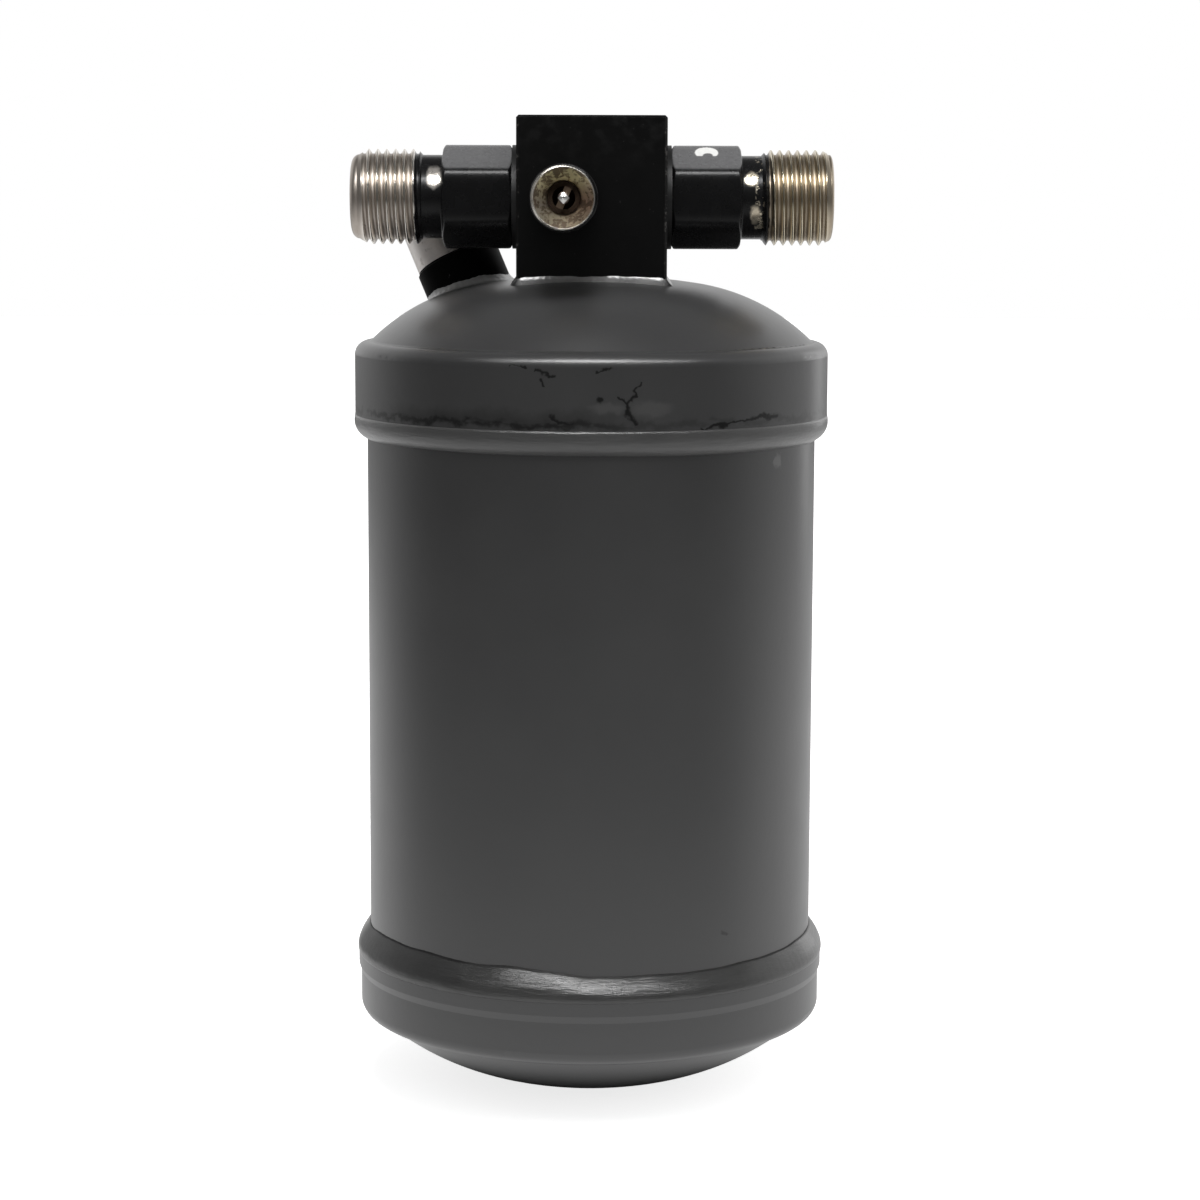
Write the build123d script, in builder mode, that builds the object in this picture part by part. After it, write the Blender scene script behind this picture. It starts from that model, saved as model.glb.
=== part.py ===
"""Receiver drier: a welded steel canister with a ported head block, a service port and a relief valve.

The origin is on the canister's axis, halfway up the bare barrel, where a band clamp holds it.
+Z points up the canister, -X out of the inlet, +X out of the outlet and -Y out of the service port.
All lengths are in millimetres and all angles in degrees.
"""

import math
import os

from build123d import *

os.makedirs("parts", exist_ok=True)

# Driving dimensions of the canister
barrel_diameter = 76.2
barrel_wall = 2.0
bare_barrel_length = 83.0  # between the two weld beads
cap_wall = 2.0
skirt_slip = 0.05  # radial gap of a cap's skirt around the tube
tube_end_gap = 0.1  # between a tube end and the ledge it meets
shoulder_width = 2.65  # from the dome's edge out to the skirt's face
shoulder_corner = 2.2
dome_root_fillet = 0.8
least_inner_corner = 0.15
crown_radius = 120.0
top_knuckle_radius = 35.0
top_edge_slope = 44.7
top_skirt_length = 12.3
bottom_knuckle_radius = 45.0
bottom_edge_slope = 41.1
bottom_skirt_length = 10.8
joggle_depth = 0.4  # the lower skirt is belled outwards by this to pass over the tube
joggle_height = 8.0  # from the lower shoulder to the joggle
joggle_length = 1.2
top_bead_height = 4.1
bottom_bead_height = 5.7
bead_bulge = 1.0
weld_gap = 0.02  # keeps each weld's solid just clear of what it joins
spring_wire_sides = 6  # flat sides that stand for the round wire of every spring

# Driving dimensions of the head block
block_width = 25.0
block_depth = 25.0
block_height = 27.0
block_edge_chamfer = 0.4
block_spigot_diameter = 20.0
block_spigot_length = 3.0
spigot_clearance = 0.05
port_axis_height = 13.5  # above the block's foot
port_socket_depth = 4.5
port_drill_diameter = 6.5
inlet_drill_depth = 7.6  # from the block's side, ending short of the middle
inlet_drop_diameter = 3.8
inlet_drop_offset = 7.4
riser_diameter = 6.0
pickup_seat_depth = 7.0
block_weld_rise = 0.6  # up the block's sides from its foot
block_weld_depth = 2.3  # from the weld's toe on the block down to below the dome's surface

# Driving dimensions of the inlet and outlet fittings
thread_diameter = 16.0
thread_length = 12.1
thread_lead_chamfer = 1.3
neck_diameter = 14.0
neck_length = 3.4
hex_across_flats = 16.0
hex_length = 11.65
hex_chamfer_angle = 30.0
washer_diameter = 17.4
washer_thickness = 0.9
fitting_spigot_diameter = 13.5
fitting_bore_diameter = 9.0
fitting_bore_depth = 21.0
bore_mouth_chamfer = 0.6

# Driving dimensions of the service port and its valve core
service_port_offset = 4.5  # left of the block's middle
port_spigot_diameter = 8.0
port_spigot_length = 4.0
port_collar_length = 2.0
port_thread_diameter = 11.1
port_relief_diameter = 9.5
port_relief_length = 1.4
port_length = 13.0
port_lead_chamfer = 0.55
port_mouth_diameter = 9.5
core_bore_diameter = 5.44
core_seat_height = 4.5
port_passage_diameter = 3.4
service_drill_diameter = 2.4
service_drill_depth = 10.3
core_clearance = 0.07
core_barrel_diameter = 3.0
core_barrel_wall = 0.3
core_foot_height = 1.0
core_lip_thickness = 0.5
core_lip_opening = 1.5
core_floor_height = 6.2
core_floor_thickness = 0.7
core_head_height = 9.6
core_head_wall = 0.75
core_head_foot = 5.25
core_head_chamfer = 0.35
bridge_width = 1.2
bridge_height = 1.3
bridge_proud = 0.7  # how far the bridge stands above the head's rim
bridge_angle = 24.0
pin_diameter = 1.2
pin_head_diameter = 1.9
pin_head_height = 0.6
pin_clearance = 0.06
pin_collar_height = 4.4
pin_collar_thickness = 0.5
pin_travel = 1.5
pin_stop_gap = 0.3  # left between the pin's head and the bridge when it is pressed
plunger_thickness = 0.6
plunger_side_gap = 0.35
seal_thickness = 0.35
seat_gap = 0.05
gasket_length = 1.3
core_spring_wire = 0.22
core_spring_turns = 4.0

# Driving dimensions of the relief valve, measured along its own axis from the dome's surface
relief_block_gap = 10.26027  # from the block's side out to the valve's foot, seen from above
relief_azimuth = 32.0  # behind the inlet
relief_tilt = 27.0
relief_boss_diameter = 14.8
relief_boss_height = 5.9
relief_boss_chamfer = 0.5
relief_boss_floor = 1.2
relief_passage_diameter = 5.0
relief_thread_diameter = 10.0
thread_clearance = 0.05
relief_spigot_foot = 1.6
relief_collar_diameter = 14.2
relief_collar_length = 10.6
relief_hex_across_flats = 12.0
relief_hex_length = 4.0
relief_nose_diameter = 9.0
relief_length = 22.5
relief_bore_diameter = 6.4
relief_nozzle_diameter = 3.0
relief_seat_height = 5.0
poppet_diameter = 6.2
poppet_thickness = 1.4
poppet_shoulder_diameter = 3.0  # the shoulder stops on the adjuster when the valve is open
poppet_stem_diameter = 2.2
poppet_travel = 1.0
poppet_groove_diameter = 1.6
poppet_groove_count = 4
relief_seal_diameter = 5.2
relief_seal_thickness = 0.35
adjuster_foot = 15.5
adjuster_length = 4.5
stem_guide_length = 2.0  # of the stem inside the adjuster while the valve is shut
stem_clearance = 0.1
vent_diameter = 1.0
vent_radius = 2.1
vent_count = 4
adjuster_clearance = 0.05
adjuster_slot_width = 1.0
adjuster_slot_depth = 1.0
relief_spring_wire = 0.5
relief_spring_turns = 5.0
o_ring_section = 0.9
o_ring_clearance = 0.06
boss_weld_leg = 1.5

# Driving dimensions of what the canister holds
pickup_diameter = 8.0
pickup_wall = 0.9
pickup_seat_clearance = 0.05
pickup_foot_gap = 8.0  # from the tube's foot down to the strainer's floor
strainer_diameter = 12.0
strainer_wall = 0.6
strainer_collar_length = 4.0
strainer_length = 14.0
strainer_floor_gap = 0.7
strainer_slot_width = 2.2
strainer_slot_height = 6.0
strainer_slot_count = 8
liner_clearance = 0.3  # between the tube wall and what slides in it
plate_thickness = 1.0
plate_bend_radius = 1.6
lower_plate_rise = 14.0  # from the lower shoulder up to the plate's upper face
upper_flange_height = 5.0
filter_thickness = 6.0
desiccant_height = 64.0
plate_hole_diameter = 6.5
plate_hole_rings = [(14.0, 6), (26.0, 10)]  # ring radius and number of holes
hold_down_diameter = 38.0
hold_down_wire = 2.2
hold_down_turns = 3.0
hold_down_gap = 0.15

# Sizes that follow from the driving dimensions
barrel_radius = barrel_diameter / 2
tube_bore = barrel_radius - barrel_wall
skirt_bore = barrel_radius + skirt_slip
skirt_radius = skirt_bore + cap_wall
relief_radius = block_width / 2 / math.cos(math.radians(relief_azimuth)) + relief_block_gap
top_skirt_end = bare_barrel_length / 2 + top_bead_height
bottom_skirt_end = bare_barrel_length / 2 + bottom_bead_height
top_shoulder = top_skirt_end + top_skirt_length
bottom_shoulder = bottom_skirt_end + bottom_skirt_length
joggle_level = bottom_shoulder - joggle_height
tube_top = top_shoulder - cap_wall - tube_end_gap
tube_bottom = joggle_level - joggle_length / 2 - tube_end_gap


def dome_angles(knuckle, edge_slope, edge_radius):
    """The knuckle arc's centre radius, and the angle from the axis where the crown meets the knuckle."""
    centre_radius = edge_radius - knuckle * math.sin(math.radians(edge_slope))
    return centre_radius, math.asin(centre_radius / (crown_radius - knuckle))


def dome_height(knuckle, edge_slope, edge_radius):
    """Height of the dome's crown above its shoulder: the crown's rise and then the knuckle's."""
    centre_radius, join = dome_angles(knuckle, edge_slope, edge_radius)
    crown_rise = crown_radius * (1 - math.cos(join))
    return crown_rise + knuckle * (math.cos(join) - math.cos(math.radians(edge_slope)))


def dome_drop(radius, inset, knuckle, edge_slope, edge_radius):
    """How far the dome's surface, moved inwards by inset, lies below its crown at a radius."""
    centre_radius, join = dome_angles(knuckle, edge_slope, edge_radius)
    crown = crown_radius - inset
    arc = knuckle - inset
    if radius <= crown * math.sin(join):
        return crown - math.sqrt(crown**2 - radius**2)
    height = math.sqrt(arc**2 - (radius - centre_radius) ** 2)
    return crown * (1 - math.cos(join)) + arc * math.cos(join) - height


def dished_outline(inset, knuckle, edge_slope, outer_radius, shoulder, skirt_end, bell=0.0, bell_level=0.0):
    """Filled half section of a dished cap, dome up, with its surface moved inwards by inset.

    A crown arc runs into a tangent knuckle arc, then come a flat shoulder, a rounded corner and the
    skirt. Where bell is given, the skirt steps outwards by it at bell_level.
    """
    edge_radius = outer_radius - shoulder_width
    centre_radius, join = dome_angles(knuckle, edge_slope, edge_radius)
    height = dome_height(knuckle, edge_slope, edge_radius)
    crown = crown_radius - inset
    arc = knuckle - inset
    level = shoulder - inset
    apex = level + height
    arc_centre = apex - crown * (1 - math.cos(join)) - arc * math.cos(join)
    join_angle = math.degrees(join)
    edge_angle = math.degrees(math.acos((level - arc_centre) / arc))
    wall_radius = outer_radius - inset
    with BuildSketch() as outline:
        with BuildLine():
            CenterArc((0, apex - crown), crown, 90, -join_angle)
            side = CenterArc((centre_radius, arc_centre), arc, 90 - join_angle, join_angle - edge_angle)
            if bell:
                Polyline(
                    side @ 1,
                    (wall_radius, level),
                    (wall_radius, bell_level + joggle_length / 2),
                    (wall_radius + bell, bell_level - joggle_length / 2),
                    (wall_radius + bell, skirt_end),
                    (0, skirt_end),
                    (0, apex),
                )
            else:
                Polyline(side @ 1, (wall_radius, level), (wall_radius, skirt_end), (0, skirt_end), (0, apex))
        make_face()
        shoulder_ends = outline.vertices().filter_by(lambda v: abs(v.Y - level) < 1e-6).sort_by(Axis.X)
        fillet(shoulder_ends[-1], max(shoulder_corner - inset, least_inner_corner))
        shoulder_ends = outline.vertices().filter_by(lambda v: abs(v.Y - level) < 1e-6).sort_by(Axis.X)
        fillet(shoulder_ends[0], dome_root_fillet + inset)
    return outline.sketch_local


def section_of(axis_plane):
    """The plane through an axis in which x is the radius and y runs along the axis."""
    return Plane(origin=axis_plane.origin, x_dir=axis_plane.x_dir, z_dir=-axis_plane.y_dir)


def axis_of(axis_plane):
    """The axis that an axis plane stands on."""
    return Axis(axis_plane.origin, axis_plane.z_dir)


# Planes of the pieces turned about the canister's axis, dome up and dome down
up_section = section_of(Plane.XY)
down_section = Plane(origin=(0, 0, 0), x_dir=(1, 0, 0), z_dir=(0, 1, 0))

# Where the dome, the block and the relief valve stand
top_dome = (top_knuckle_radius, top_edge_slope, skirt_radius - shoulder_width)
top_apex = top_shoulder + dome_height(*top_dome)
lower_skirt_radius = skirt_radius - joggle_depth
bottom_dome = (bottom_knuckle_radius, bottom_edge_slope, lower_skirt_radius - shoulder_width)
bottom_apex = bottom_shoulder + dome_height(*bottom_dome)
block_hole_radius = block_spigot_diameter / 2 + spigot_clearance
block_foot = top_apex - dome_drop(block_hole_radius, 0, *top_dome)
port_height = block_foot + port_axis_height
inlet_axis = Plane(origin=(-block_width / 2, 0, port_height), x_dir=(0, 1, 0), z_dir=(-1, 0, 0))
outlet_axis = Plane(origin=(block_width / 2, 0, port_height), x_dir=(0, 1, 0), z_dir=(1, 0, 0))
service_axis = Plane(
    origin=(-service_port_offset, -block_depth / 2, port_height),
    x_dir=(1, 0, 0),
    z_dir=(0, -1, 0),
)
azimuth = math.radians(relief_azimuth)
tilt = math.radians(relief_tilt)
relief_foot = Vector(
    -relief_radius * math.cos(azimuth),
    relief_radius * math.sin(azimuth),
    top_apex - dome_drop(relief_radius, 0, *top_dome),
)
relief_direction = Vector(
    -math.sin(tilt) * math.cos(azimuth),
    math.sin(tilt) * math.sin(azimuth),
    math.cos(tilt),
)
relief_axis = Plane(
    origin=relief_foot,
    x_dir=(math.sin(azimuth), math.cos(azimuth), 0),
    z_dir=relief_direction,
)

# Shell
with BuildPart() as shell_tube:
    with BuildSketch(Plane.XY.offset(-tube_bottom)):
        Circle(barrel_radius)
        Circle(tube_bore, mode=Mode.SUBTRACT)
    extrude(amount=tube_bottom + tube_top)
shell_tube.part.label = "shell_tube"
export_step(shell_tube.part, "parts/shell_tube.step")

top_cap_size = (top_knuckle_radius, top_edge_slope, skirt_radius, top_shoulder, top_skirt_end)
top_cap_outside = dished_outline(0, *top_cap_size)
top_cap_inside = dished_outline(cap_wall, *top_cap_size)
with BuildPart() as top_cap:
    with BuildSketch(up_section):
        add(top_cap_outside)
        add(top_cap_inside, mode=Mode.SUBTRACT)
    revolve(axis=Axis.Z)
    with BuildSketch(Plane.XY.offset(top_shoulder)):
        Circle(block_hole_radius)
    extrude(amount=top_apex + cap_wall - top_shoulder, mode=Mode.SUBTRACT)
    with BuildSketch(relief_axis):
        Circle(relief_passage_diameter / 2)
    extrude(amount=2 * cap_wall, both=True, mode=Mode.SUBTRACT)
top_cap.part.label = "top_cap"
export_step(top_cap.part, "parts/top_cap.step")

bottom_cap_size = (
    bottom_knuckle_radius,
    bottom_edge_slope,
    lower_skirt_radius,
    bottom_shoulder,
    bottom_skirt_end,
)
bottom_cap_outside = dished_outline(0, *bottom_cap_size, joggle_depth, joggle_level)
bottom_cap_inside = dished_outline(cap_wall, *bottom_cap_size, joggle_depth, joggle_level)
with BuildPart() as bottom_cap:
    with BuildSketch(down_section):
        add(bottom_cap_outside)
        add(bottom_cap_inside, mode=Mode.SUBTRACT)
    revolve(axis=Axis.Z)
bottom_cap.part.label = "bottom_cap"
export_step(bottom_cap.part, "parts/bottom_cap.step")


def ring_bead(section, bead_foot, bead_top):
    """A weld bead in the corner between a skirt's edge and the tube, with a round bulging face."""
    with BuildPart() as bead:
        with BuildSketch(section):
            with BuildLine():
                toe = (barrel_radius + weld_gap, bead_foot)
                edge = (skirt_radius, bead_top - weld_gap)
                SagittaArc(toe, edge, -bead_bulge)
                Polyline(edge, (barrel_radius + weld_gap, bead_top - weld_gap), toe)
            make_face()
        revolve(axis=Axis.Z)
    return bead


top_weld_bead = ring_bead(up_section, bare_barrel_length / 2, top_skirt_end)
top_weld_bead.part.label = "top_weld_bead"
export_step(top_weld_bead.part, "parts/top_weld_bead.step")

bottom_weld_bead = ring_bead(down_section, bare_barrel_length / 2, bottom_skirt_end)
bottom_weld_bead.part.label = "bottom_weld_bead"
export_step(bottom_weld_bead.part, "parts/bottom_weld_bead.step")

# Head block, with its passages
with BuildPart() as head_block:
    with BuildSketch(Plane.XY.offset(block_foot)):
        Rectangle(block_width, block_depth)
    extrude(amount=block_height)
    foot_edges = head_block.edges().group_by(Axis.Z)[0]
    chamfer(head_block.edges() - foot_edges, block_edge_chamfer)
    with BuildSketch(Plane.XY.offset(block_foot)):
        Circle(block_spigot_diameter / 2)
    extrude(amount=-block_spigot_length)
    # The two side ports, each with the socket that its fitting seats in
    for side_axis, drill_depth in ((inlet_axis, inlet_drill_depth), (outlet_axis, block_width / 2)):
        with BuildSketch(side_axis):
            Circle(fitting_spigot_diameter / 2 + spigot_clearance)
        extrude(amount=-port_socket_depth, mode=Mode.SUBTRACT)
        with BuildSketch(side_axis):
            Circle(port_drill_diameter / 2)
        extrude(amount=-drill_depth, mode=Mode.SUBTRACT)
    # The inlet drops into the canister beside the pick-up tube, which stands in a stepped riser
    with BuildSketch(Plane.XY.offset(block_foot - block_spigot_length)):
        with Locations((-inlet_drop_offset, 0)):
            Circle(inlet_drop_diameter / 2)
        Circle(riser_diameter / 2)
    extrude(amount=block_spigot_length + port_axis_height, mode=Mode.SUBTRACT)
    with BuildSketch(Plane.XY.offset(block_foot - block_spigot_length)):
        Circle(pickup_diameter / 2 + pickup_seat_clearance)
    extrude(amount=block_spigot_length + pickup_seat_depth, mode=Mode.SUBTRACT)
    # The service port's socket, and the drilling that joins it to the inlet
    with BuildSketch(service_axis):
        Circle(port_spigot_diameter / 2 + spigot_clearance)
    extrude(amount=-port_spigot_length, mode=Mode.SUBTRACT)
    with BuildSketch(service_axis):
        Circle(service_drill_diameter / 2)
    extrude(amount=-service_drill_depth, mode=Mode.SUBTRACT)
head_block.part.label = "head_block"
export_step(head_block.part, "parts/head_block.step")

# What the welds on the dome are cut to: the dome and the block's weld, each grown by the weld gap
clear_dome_outline = dished_outline(-weld_gap, *top_cap_size)
with BuildPart(mode=Mode.PRIVATE) as clear_dome:
    with BuildSketch(up_section):
        add(clear_dome_outline)
    revolve(axis=Axis.Z)

weld_toe = block_foot + block_weld_rise
weld_foot = weld_toe - block_weld_depth
with BuildPart(mode=Mode.PRIVATE) as clear_block_weld:
    with BuildSketch(Plane.XY.offset(weld_foot)):
        Rectangle(
            block_width + 2 * (block_weld_depth + 2 * weld_gap),
            block_depth + 2 * (block_weld_depth + 2 * weld_gap),
        )
    extrude(amount=block_weld_depth, taper=45)
    with BuildSketch(Plane.XY.offset(weld_foot)):
        Rectangle(block_width + 2 * weld_gap, block_depth + 2 * weld_gap)
    extrude(amount=block_height)

boss_radius = relief_boss_diameter / 2
boss_reach = boss_radius  # far enough below the dome's surface for the boss's foot to follow it

with BuildPart() as head_block_weld:
    with BuildSketch(Plane.XY.offset(weld_foot)):
        Rectangle(block_width + 2 * block_weld_depth, block_depth + 2 * block_weld_depth)
    extrude(amount=block_weld_depth, taper=45)
    with BuildSketch(Plane.XY.offset(weld_foot)):
        Rectangle(block_width + 2 * weld_gap, block_depth + 2 * weld_gap)
    extrude(amount=block_weld_depth, mode=Mode.SUBTRACT)
    with BuildSketch(relief_axis.offset(-boss_reach)):
        Circle(boss_radius + weld_gap)
    extrude(amount=2 * boss_reach, mode=Mode.SUBTRACT)
    add(clear_dome.part, mode=Mode.SUBTRACT)
head_block_weld.part.label = "head_block_weld"
export_step(head_block_weld.part, "parts/head_block_weld.step")


# Inlet and outlet fittings, with their sealing washers
def threaded_fitting(axis_plane):
    """A hex fitting along an axis: spigot, chamfered hex, relief neck, threaded end and stepped bore.

    Heights run outwards from the block's face. The thread is left at its major diameter.
    """
    hex_foot = washer_thickness
    hex_top = hex_foot + hex_length
    neck_top = hex_top + neck_length
    tip = neck_top + thread_length
    hex_flat = hex_across_flats / 2
    hex_corner = hex_flat / math.cos(math.radians(30))
    chamfer_rise = (hex_corner - hex_flat) * math.tan(math.radians(hex_chamfer_angle))
    with BuildPart() as fitting:
        with BuildSketch(axis_plane.offset(hex_foot)):
            RegularPolygon(hex_flat, 6, major_radius=False, rotation=30)
        extrude(amount=hex_length)
        with BuildSketch(section_of(axis_plane)):
            with BuildLine():
                Polyline(
                    (0, hex_foot),
                    (hex_flat, hex_foot),
                    (hex_corner, hex_foot + chamfer_rise),
                    (hex_corner, hex_top - chamfer_rise),
                    (hex_flat, hex_top),
                    (0, hex_top),
                    close=True,
                )
            make_face()
        revolve(axis=axis_of(axis_plane), mode=Mode.INTERSECT)
        with BuildSketch(section_of(axis_plane)):
            with BuildLine():
                Polyline(
                    (0, -port_socket_depth),
                    (fitting_spigot_diameter / 2, -port_socket_depth),
                    (fitting_spigot_diameter / 2, hex_foot),
                    (neck_diameter / 2, hex_foot),
                    (neck_diameter / 2, neck_top),
                    (thread_diameter / 2, neck_top),
                    (thread_diameter / 2, tip - thread_lead_chamfer),
                    (thread_diameter / 2 - thread_lead_chamfer, tip),
                    (0, tip),
                    close=True,
                )
            make_face()
        revolve(axis=axis_of(axis_plane))
        with BuildSketch(section_of(axis_plane)):
            with BuildLine():
                Polyline(
                    (0, -port_socket_depth),
                    (port_drill_diameter / 2, -port_socket_depth),
                    (port_drill_diameter / 2, tip - fitting_bore_depth),
                    (fitting_bore_diameter / 2, tip - fitting_bore_depth),
                    (fitting_bore_diameter / 2, tip - bore_mouth_chamfer),
                    (fitting_bore_diameter / 2 + bore_mouth_chamfer, tip),
                    (0, tip),
                    close=True,
                )
            make_face()
        revolve(axis=axis_of(axis_plane), mode=Mode.SUBTRACT)
    return fitting


inlet_fitting = threaded_fitting(inlet_axis)
inlet_fitting.part.label = "inlet_fitting"
export_step(inlet_fitting.part, "parts/inlet_fitting.step")

outlet_fitting = threaded_fitting(outlet_axis)
outlet_fitting.part.label = "outlet_fitting"
export_step(outlet_fitting.part, "parts/outlet_fitting.step")


def seal_ring(axis_plane, inner_diameter, outer_diameter, thickness):
    """A flat ring standing on an axis plane."""
    with BuildPart() as ring:
        with BuildSketch(axis_plane):
            Circle(outer_diameter / 2)
            Circle(inner_diameter / 2, mode=Mode.SUBTRACT)
        extrude(amount=thickness)
    return ring


washer_bore = fitting_spigot_diameter + 2 * spigot_clearance
inlet_washer = seal_ring(inlet_axis, washer_bore, washer_diameter, washer_thickness)
inlet_washer.part.label = "inlet_washer"
export_step(inlet_washer.part, "parts/inlet_washer.step")

outlet_washer = seal_ring(outlet_axis, washer_bore, washer_diameter, washer_thickness)
outlet_washer.part.label = "outlet_washer"
export_step(outlet_washer.part, "parts/outlet_washer.step")

# Service port. Heights run outwards from the block's front face.
core_bore = core_bore_diameter / 2
port_passage = port_passage_diameter / 2
port_rim = port_mouth_diameter / 2
port_thread = port_thread_diameter / 2
thread_foot = port_collar_length + port_relief_length
with BuildPart() as service_port_body:
    with BuildSketch(section_of(service_axis)):
        with BuildLine():
            Polyline(
                (port_passage, -port_spigot_length),
                (port_spigot_diameter / 2, -port_spigot_length),
                (port_spigot_diameter / 2, 0),
                (port_thread, 0),
                (port_thread, port_collar_length),
                (port_relief_diameter / 2, port_collar_length),
                (port_relief_diameter / 2, thread_foot),
                (port_thread, thread_foot),
                (port_thread, port_length - port_lead_chamfer),
                (port_thread - port_lead_chamfer, port_length),
                (port_rim, port_length),
                (core_bore, port_length - (port_rim - core_bore)),
                (core_bore, core_seat_height),
                (port_passage, core_seat_height - (core_bore - port_passage)),
                close=True,
            )
        make_face()
    revolve(axis=axis_of(service_axis))
service_port_body.part.label = "service_port_body"
export_step(service_port_body.part, "parts/service_port_body.step")

# Valve core: a threaded head with a bridge across it, and a barrel that holds the spring
core_head = core_bore - core_clearance
core_barrel = core_barrel_diameter / 2
pin_hole = pin_diameter / 2 + pin_clearance
core_floor_top = core_floor_height + core_floor_thickness
bridge_top = core_head_height + bridge_proud
with BuildPart() as valve_core_body:
    with BuildSketch(section_of(service_axis)):
        with BuildLine():
            Polyline(
                (core_lip_opening / 2, core_foot_height),
                (core_barrel, core_foot_height),
                (core_barrel, core_head_foot),
                (core_head - core_head_chamfer, core_head_foot),
                (core_head, core_head_foot + core_head_chamfer),
                (core_head, core_head_height),
                (core_head - core_head_wall, core_head_height),
                (core_head - core_head_wall, core_floor_top),
                (pin_hole, core_floor_top),
                (pin_hole, core_floor_height),
                (core_barrel - core_barrel_wall, core_floor_height),
                (core_barrel - core_barrel_wall, core_foot_height + core_lip_thickness),
                (core_lip_opening / 2, core_foot_height + core_lip_thickness),
                close=True,
            )
        make_face()
    revolve(axis=axis_of(service_axis))
    with BuildSketch(service_axis.offset(bridge_top - bridge_height)):
        Rectangle(bridge_width, 2 * core_head, rotation=-bridge_angle)
        Circle(core_head, mode=Mode.INTERSECT)
    extrude(amount=bridge_height)
    with BuildSketch(service_axis.offset(bridge_top - bridge_height)):
        Circle(pin_hole)
    extrude(amount=bridge_height, mode=Mode.SUBTRACT)
valve_core_body.part.label = "valve_core_body"
export_step(valve_core_body.part, "parts/valve_core_body.step")

# The gasket seals the barrel on the port's conical seat
gasket_foot = core_seat_height + seat_gap - (core_bore - port_passage) / 2
gasket_bore = core_barrel + weld_gap
gasket_face = (core_bore + port_passage) / 2
with BuildPart() as valve_core_gasket:
    with BuildSketch(section_of(service_axis)):
        with BuildLine():
            Polyline(
                (gasket_bore, gasket_foot - seat_gap),
                (gasket_face - 2 * seat_gap, gasket_foot),
                (core_bore - 3 * seat_gap, gasket_foot + core_bore - gasket_face),
                (core_bore - 3 * seat_gap, core_head_foot),
                (gasket_bore, core_head_foot),
                close=True,
            )
        make_face()
    revolve(axis=axis_of(service_axis))
valve_core_gasket.part.label = "valve_core_gasket"
export_step(valve_core_gasket.part, "parts/valve_core_gasket.step")

# Pin: a domed head in the port's mouth, a spring collar, and the plunger that closes the barrel's foot
pin_radius = pin_diameter / 2
pin_head_foot = bridge_top + pin_stop_gap + pin_travel
pin_top = pin_head_foot + pin_head_height
plunger_top = core_foot_height - seat_gap - seal_thickness
with BuildPart() as valve_core_pin:
    with BuildSketch(section_of(service_axis)):
        with BuildLine():
            Polyline(
                (0, plunger_top - plunger_thickness),
                (core_barrel - plunger_side_gap, plunger_top - plunger_thickness),
                (core_barrel - plunger_side_gap, plunger_top),
                (pin_radius, plunger_top),
                (pin_radius, pin_collar_height),
                (core_barrel - core_barrel_wall - pin_clearance, pin_collar_height),
                (core_barrel - core_barrel_wall - pin_clearance, pin_collar_height + pin_collar_thickness),
                (pin_radius, pin_collar_height + pin_collar_thickness),
                (pin_radius, pin_head_foot),
                (pin_head_diameter / 2, pin_head_foot),
                (pin_head_diameter / 2, pin_top - pin_head_height / 2),
                (pin_radius / 2, pin_top),
                (0, pin_top),
                close=True,
            )
        make_face()
    revolve(axis=axis_of(service_axis))
valve_core_pin.part.label = "valve_core_pin"
export_step(valve_core_pin.part, "parts/valve_core_pin.step")

seal_bore = pin_diameter + 2 * weld_gap
seal_outside = core_barrel_diameter - 2 * plunger_side_gap
valve_core_seal = seal_ring(service_axis.offset(plunger_top), seal_bore, seal_outside, seal_thickness)
valve_core_seal.part.label = "valve_core_seal"
export_step(valve_core_seal.part, "parts/valve_core_seal.step")


def compression_spring(axis_plane, foot, top, mean_radius, wire, turns):
    """A helical spring between two heights along an axis, its wire drawn with a few flat sides."""
    rise = top - foot - wire
    start = axis_plane.offset(foot + wire / 2).origin
    with BuildPart() as spring:
        with BuildLine() as coil:
            Helix(rise / turns, rise, mean_radius, center=start, direction=axis_plane.z_dir)
        with BuildSketch(Plane(origin=coil.line @ 0, z_dir=coil.line % 0)):
            RegularPolygon(wire / 2, spring_wire_sides)
        sweep(is_frenet=True)
    return spring


core_spring_foot = core_foot_height + core_lip_thickness + seat_gap
core_spring_top = pin_collar_height - seat_gap
core_spring_radius = (core_barrel - core_barrel_wall + pin_radius) / 2
valve_core_spring = compression_spring(
    service_axis, core_spring_foot, core_spring_top, core_spring_radius, core_spring_wire, core_spring_turns
)
valve_core_spring.part.label = "valve_core_spring"
export_step(valve_core_spring.part, "parts/valve_core_spring.step")

# Relief valve. Heights run along its own axis from the dome's surface.
relief_thread = relief_thread_diameter / 2
relief_tap = relief_thread + thread_clearance
o_ring_seat = relief_tap + o_ring_section + 2 * o_ring_clearance
o_ring_depth = o_ring_section + 2 * o_ring_clearance
with BuildPart() as relief_boss:
    with BuildSketch(relief_axis.offset(-boss_reach)):
        Circle(boss_radius)
    extrude(amount=boss_reach + relief_boss_height)
    rim = relief_boss.edges().filter_by(GeomType.CIRCLE).sort_by(axis_of(relief_axis))[-1]
    chamfer(rim, relief_boss_chamfer)
    add(clear_dome.part, mode=Mode.SUBTRACT)
    with BuildSketch(section_of(relief_axis)):
        with BuildLine():
            Polyline(
                (0, -boss_reach),
                (relief_passage_diameter / 2, -boss_reach),
                (relief_passage_diameter / 2, relief_boss_floor),
                (relief_tap, relief_boss_floor),
                (relief_tap, relief_boss_height - o_ring_depth),
                (o_ring_seat, relief_boss_height - o_ring_depth),
                (o_ring_seat, relief_boss_height),
                (0, relief_boss_height),
                close=True,
            )
        make_face()
    revolve(axis=axis_of(relief_axis), mode=Mode.SUBTRACT)
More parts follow.
